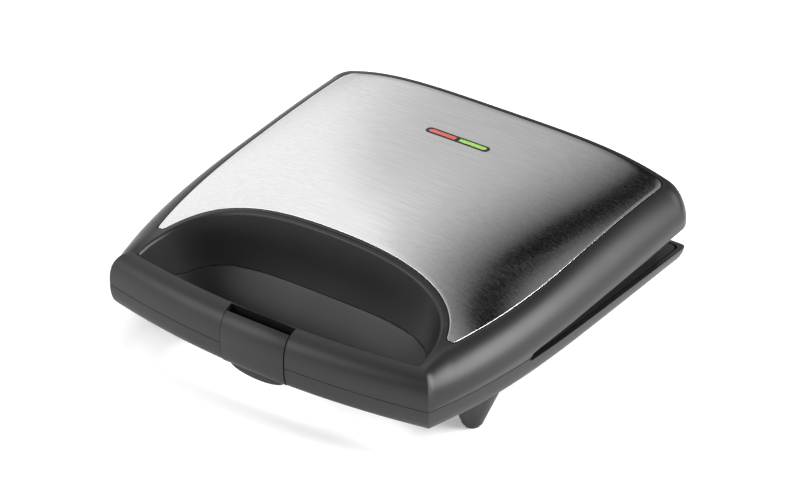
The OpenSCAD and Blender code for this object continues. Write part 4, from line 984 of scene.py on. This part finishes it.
def turned(name, spot, profile, sides=64):
    """A solid of revolution from (radius, height) points."""
    t = np.linspace(0, 2 * math.pi, sides, endpoint=False)
    ring = np.stack([np.cos(t), np.sin(t)], 1)
    return loft(name, [np.array(spot) + r * ring for r, _ in profile], [z for _, z in profile])


def foot(f, spot):
    tip, rise = f.foot_tip_r, FEET.tip_round
    profile = [(tip - rise + rise * math.sin(a), FEET.pad_h + rise - rise * math.cos(a))
               for a in np.linspace(0, math.pi / 2, 7)]
    profile += [(f.foot_top_r, f.band_z), (f.foot_top_r, f.band_z + 1)]
    return turned("foot", spot, profile)


class DONUTMAKER_OT_panel(bpy.types.Operator):
    """Brushed steel panel with a rounded edge and the hole for the indicator"""
    bl_idname = "donutmaker.panel"
    bl_label = "Steel panel"

    def execute(self, context):
        f = form()
        inner, outer = f.panel_edges(0)
        across = outer - inner
        width = np.maximum(1e-6, np.linalg.norm(across, axis=1))[:, None]
        way = across / width
        soft = 0.18
        turns = np.linspace(0, math.pi / 2, 5)

        def edge_rows(start, sign, angles):
            rows = []
            for a in angles:
                inset = np.minimum(soft * (1 - math.cos(a)), width * 0.3)
                rows.append((start + sign * way * inset, soft * (1 - math.sin(a))))
            return rows

        first, final = edge_rows(inner, 1, turns), edge_rows(outer, -1, turns[::-1])
        between = [(mix(first[-1][0], final[0][0], s), 0.0) for s in np.linspace(0, 1, 41)[1:-1]]
        grid, drops = zip(*(first + between + final))
        grid = np.array(grid)
        x, y = grid[..., 0], grid[..., 1]
        drops = np.array(drops)[:, None]
        surface = f.top_z(x, y)
        panel = sheet_solid("brushed_panel", x, y, surface - drops, surface - f.panel_t)
        fuse(panel, [stadium("window", f, f.window_l, f.window_w, f.parting, 90)])
        shade(panel, 30)
        place(panel, "lid", "panel_steel", "top_panel")
        return {"FINISHED"}


class DONUTMAKER_OT_indicator(bpy.types.Operator):
    """Black bezel with its two lenses, red for power and green for ready"""
    bl_idname = "donutmaker.indicator"
    bl_label = "Indicator"

    def execute(self, context):
        f = form()
        proud, flange = 0.3, 1.2
        depth = f.panel_t + PANEL_DROP + f.wall + proud + 0.15
        low = f.crown_z(f.window_y) - (depth - proud)
        long = (f.window_l - 5.4) / 2
        wide = f.window_w - 2.2
        bezel = stadium("indicator_bezel_trim", f, f.window_l - 0.2, f.window_w - 0.2, low, depth)
        round_edges(bezel, 0.35, 50)
        foot_of_bezel = stadium("flange", f, f.window_l + 4, f.window_w + 4, low - flange, flange + 0.01)
        fuse(bezel, [foot_of_bezel], "UNION")
        holes = [self.lens(f, s, long, wide, low - 2, depth + 3, 0) for s in (-1, 1)]
        fuse(bezel, holes)
        shade(bezel, 35)
        place(bezel, "lid", "inner_black", "indicator_bezel")
        for s, name, slot, node in ((-1, "lens_red_trim", "red_clear", "red_lens"),
                                    (1, "lens_green_trim", "green_clear", "green_lens")):
            lens = self.lens(f, s, long, wide, low - flange, depth + 1.1, 0.05)
            lens.name = lens.data.name = name
            round_edges(lens, 0.3, 50)
            shade(lens, 35)
            place(lens, "lid", slot, node)
        return {"FINISHED"}

    def lens(self, f, side, long, wide, z, h, inset):
        """A lens with a round outer end."""
        r = wide / 2 - inset
        t = np.linspace(-math.pi / 2, math.pi / 2, 17)
        end = np.stack([long - wide / 2 + r * np.cos(t), r * np.sin(t)], 1)
        outline = np.concatenate([[[inset, -r]], end, [[inset, r]]]) + [1, 0]
        return prism("lens", outline * [side, 1] + [0, f.window_y], z, z + h)


class DONUTMAKER_OT_latch(bpy.types.Operator):
    """Latch that pivots in the handle bar and hooks under the base"""
    bl_idname = "donutmaker.latch"
    bl_label = "Latch"

    def execute(self, context):
        f = form()
        rise = f.swell_z[0]

        def face_y(h):
            t = clamp01((h - rise) / (f.bar_h - rise))
            return f.bar_t * (1 - (1 - t ** f.bar_round) ** (1 / f.bar_round))

        top = f.bar_h - 1.6
        catch = f.band_tuck + f.latch_t - LATCH.lap
        hook = LATCH.hook_h
        pin = LATCH.pin_up
        s = np.linspace(0, 1, 15)[1:]
        band = [(f.band_tuck * (1 - math.sin(math.pi / 2 * v)), -f.band_h * (1 - v * v)) for v in s]
        face = [(float(face_y(h)), h) for h in mix(rise, top, np.sin(np.linspace(0, math.pi / 2, 19)))]
        knuckle = (float(face_y(top)) + 0.9, pin)
        back = [(y + f.latch_t, h) for y, h in face[::-1] if h < pin - 1]
        outline = band + face + [(knuckle[0], top - 0.7), knuckle] + back + [
            (f.latch_t, -f.band_h * 0.3), (catch - 0.5, -f.band_h + 2 * hook + 0.7),
            (catch - 0.5, -f.band_h + hook),
            (catch + LATCH.hook_l, -f.band_h + hook), (catch + LATCH.hook_l, -f.band_h + 0.8),
            (catch + LATCH.hook_l - 0.8, -f.band_h), (f.band_tuck * 0.9, -f.band_h)]
        outline = np.array(outline) + [f.y_front, f.parting]
        latch = slab("latch_clip", outline, 0, -f.latch_w / 2, f.latch_w / 2)
        round_edges(latch, 0.5, 60)
        pin_y, pin_z = f.y_front + LATCH.pin_in, f.parting + pin
        knob = rod("knuckle", (-f.latch_w / 2, pin_y, pin_z), "x", LATCH.knuckle_r, f.latch_w)
        half = f.latch_w / 2 - 2.5
        x = np.linspace(-half, half, 33)
        drop = (LATCH.tongue_h + 0.4) * np.sqrt(np.maximum(0, 1 - (x / half) ** 2))
        line = np.concatenate([[(half, 0.3), (-half, 0.3)], np.stack([x, -drop], 1)])
        line = line + [0, f.parting - f.band_h + 0.4]
        y0 = f.y_front + catch - 1.6
        tongue = slab("tongue", line, 1, y0, y0 + f.latch_t)
        round_edges(tongue, 0.6, 50)
        fuse(latch, [knob, tongue], "UNION")
        fuse(latch, [rod("bore", (-f.latch_w, pin_y, pin_z), "x", LATCH.pin_r + 0.05, 2 * f.latch_w)])
        shade(latch, 35)
        place(latch, "latch", "moulded_black", "latch")
        return {"FINISHED"}


class DONUTMAKER_OT_finishes(bpy.types.Operator):
    """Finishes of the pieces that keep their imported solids"""
    bl_idname = "donutmaker.finishes"
    bl_label = "Finishes"

    def execute(self, context):
        slots = finishes()
        chosen = {
            "lower_frame": "inner_black", "upper_frame": "inner_black", "cord_gland": "inner_black",
            "lower_plate": "coated_aluminium", "upper_plate": "coated_aluminium",
            "lower_element": "heater_sheath", "upper_element": "heater_sheath",
            "lower_heat_shield": "sheet_metal", "upper_heat_shield": "sheet_metal",
            "lower_element_clamps": "sheet_metal", "upper_element_clamps": "sheet_metal",
            "thermal_fuse_clip": "sheet_metal", "lower_plate_screws": "screw_steel",
            "upper_plate_screws": "screw_steel", "foot_pads": "foot_rubber", "hinge_pins": "pin_steel",
            "latch_pin": "pin_steel", "terminal_block": "terminal_ceramic", "lamp_holder": "inner_black",
            "terminal_screws": "terminal_brass", "indicator_lamps": "lamp_glass",
            "thermostat": "thermostat_body", "thermal_fuse": "fuse_steel"}
        for node, slot in chosen.items():
            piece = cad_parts[node]
            for spot in piece.material_slots:
                spot.material = slots[slot]
        return {"FINISHED"}


# ---------------------------------------------------------------- studio

CAMERA_AT = (0.9333, -1.2497, 0.9622)
CAMERA_TURN = (math.radians(36.54), math.radians(30.57))
LENS = 157.73
RAMP_SPAN = (-1.4, 0.6)  # range of x - 0.5 z over which the studio's light varies
FLOOR = 6000


def lamp(name, towards, distance, size, watts):
    """A soft box that faces the middle of the object."""
    data = bpy.data.lights.new(name, "AREA")
    data.shape = "DISK"
    data.size = size
    data.energy = watts
    box = bpy.data.objects.new(name, data)
    way = Vector(towards).normalized()
    box.location = way * distance + Vector((0, 0, 0.04))
    box.rotation_euler = way.to_track_quat("Z", "Y").to_euler()
    bpy.context.scene.collection.objects.link(box)
    return box


class DONUTMAKER_OT_studio(bpy.types.Operator):
    """Pale floor, soft boxes, a light studio round the object and the camera"""
    bl_idname = "donutmaker.studio"
    bl_label = "Studio"

    def execute(self, context):
        scene = context.scene
        colours = scene.donut_maker_colours
        scene.view_settings.view_transform = "Standard"
        corners = [(x * FLOOR, y * FLOOR, 0) for x, y in ((-1, -1), (1, -1), (1, 1), (-1, 1))]
        floor = build("studio_floor", corners, [(0, 1, 2, 3)])
        material, tree, at = new_material("matt_paper_sweep")
        tone = tone_between(tree, noise(tree, at, 40, 2), [0.985 * c for c in colours.floor], colours.floor)
        paper = add(tree, "ShaderNodeBsdfDiffuse", {"Color": tone})
        path = add(tree, "ShaderNodeLightPath").outputs
        seen = maths(tree, "MAXIMUM", path["Is Camera Ray"], path["Is Glossy Ray"])
        seen = maths(tree, "MAXIMUM", seen, path["Is Transmission Ray"])
        glow = add(tree, "ShaderNodeEmission", {"Strength": maths(tree, "MULTIPLY", seen, 0.3)})
        both = add(tree, "ShaderNodeAddShader", {0: paper.outputs[0], 1: glow.outputs[0]})
        add(tree, "ShaderNodeOutputMaterial", {"Surface": both.outputs[0]})
        dress(floor, material)

        world = bpy.data.worlds.new("soft_studio")
        world.use_nodes = True
        tree = world.node_tree
        tree.nodes.clear()
        way = add(tree, "ShaderNodeSeparateXYZ", {0: add(tree, "ShaderNodeTexCoord").outputs["Generated"]})
        lean = maths(tree, "MULTIPLY_ADD", way.outputs["Z"], -0.5, way.outputs["X"])
        first, last = RAMP_SPAN
        across = ranged(tree, lean, start=first, stop=last)
        # Bright on the left, one dark flag leaning to the right, and a pale card past it. First
        # judged from how bright the photo's panel is where it reflects each way, then tuned.
        levels = [(-0.90, 1.3), (-0.84, 1.27), (-0.79, 0.90), (-0.69, 0.54), (-0.61, 0.29), (-0.555, 0.17),
                  (-0.52, 0.0), (-0.41, 0.0), (-0.35, 0.22), (-0.30, 0.32), (0.60, 0.35)]
        full = levels[0][1]
        shades = add(tree, "ShaderNodeValToRGB", {"Fac": across},
                     [((x - first) / (last - first), v / full) for x, v in levels])
        gloss = add(tree, "ShaderNodeBackground", {"Color": shades.outputs["Color"], "Strength": full})
        plain = add(tree, "ShaderNodeBackground", {"Color": (1, 1, 1, 1), "Strength": 0.55})
        path = add(tree, "ShaderNodeLightPath")
        pick = add(tree, "ShaderNodeMixShader", {0: path.outputs["Is Glossy Ray"], 1: plain.outputs[0],
                                                 2: gloss.outputs[0]})
        add(tree, "ShaderNodeOutputWorld", {"Surface": pick.outputs[0]})
        scene.world = world

        lamp("softbox_right", (0.83, 0.32, 0.48), 1.6, 1.15, 40)
        lamp("softbox_front_left", (-0.51, -0.80, 0.35), 1.6, 0.9, 8)
        # fills the shadows from above without showing in the steel
        lamp("softbox_top", (-0.1, 0.1, 1.0), 1.8, 1.2, 14).visible_glossy = False

        data = bpy.data.cameras.new("camera")
        data.lens = LENS
        data.sensor_width = 36
        camera = bpy.data.objects.new("camera", data)
        turn, rise = CAMERA_TURN
        back = Vector((math.sin(turn) * math.cos(rise), -math.cos(turn) * math.cos(rise), math.sin(rise)))
        right = Vector((math.cos(turn), math.sin(turn), 0))
        up = back.cross(right)
        camera.matrix_world = Matrix.Translation(CAMERA_AT) @ Matrix((right, up, back)).transposed().to_4x4()
        scene.collection.objects.link(camera)
        scene.camera = camera
        return {"FINISHED"}


class DONUTMAKER_PT_panel(bpy.types.Panel):
    """Buttons for each piece, with the sizes and colours"""
    bl_idname = "DONUTMAKER_PT_panel"
    bl_label = "Donut Maker"
    bl_space_type = "VIEW_3D"
    bl_region_type = "UI"
    bl_category = "Donut Maker"

    def draw(self, context):
        for step in STEPS:
            self.layout.operator(step.bl_idname)
        for group in (context.scene.donut_maker_sizes, context.scene.donut_maker_colours):
            for name in group.__annotations__:
                self.layout.prop(group, name)


STEPS = (DONUTMAKER_OT_finishes, DONUTMAKER_OT_lid, DONUTMAKER_OT_base, DONUTMAKER_OT_panel,
         DONUTMAKER_OT_indicator, DONUTMAKER_OT_latch, DONUTMAKER_OT_studio)
GROUPS = (DonutMakerSizes, DonutMakerColours)


def register():
    for kind in GROUPS + STEPS + (DONUTMAKER_PT_panel,):
        bpy.utils.register_class(kind)
    bpy.types.Scene.donut_maker_sizes = PointerProperty(type=DonutMakerSizes)
    bpy.types.Scene.donut_maker_colours = PointerProperty(type=DonutMakerColours)


def unregister():
    del bpy.types.Scene.donut_maker_colours
    del bpy.types.Scene.donut_maker_sizes
    for kind in (DONUTMAKER_PT_panel,) + STEPS[::-1] + GROUPS[::-1]:
        bpy.utils.unregister_class(kind)


def main():
    register()
    for step in STEPS:
        group, name = step.bl_idname.split(".")
        if getattr(getattr(bpy.ops, group), name)() != {"FINISHED"}:
            raise RuntimeError(step.bl_label + " was not made")


if __name__ == "__main__":
    main()
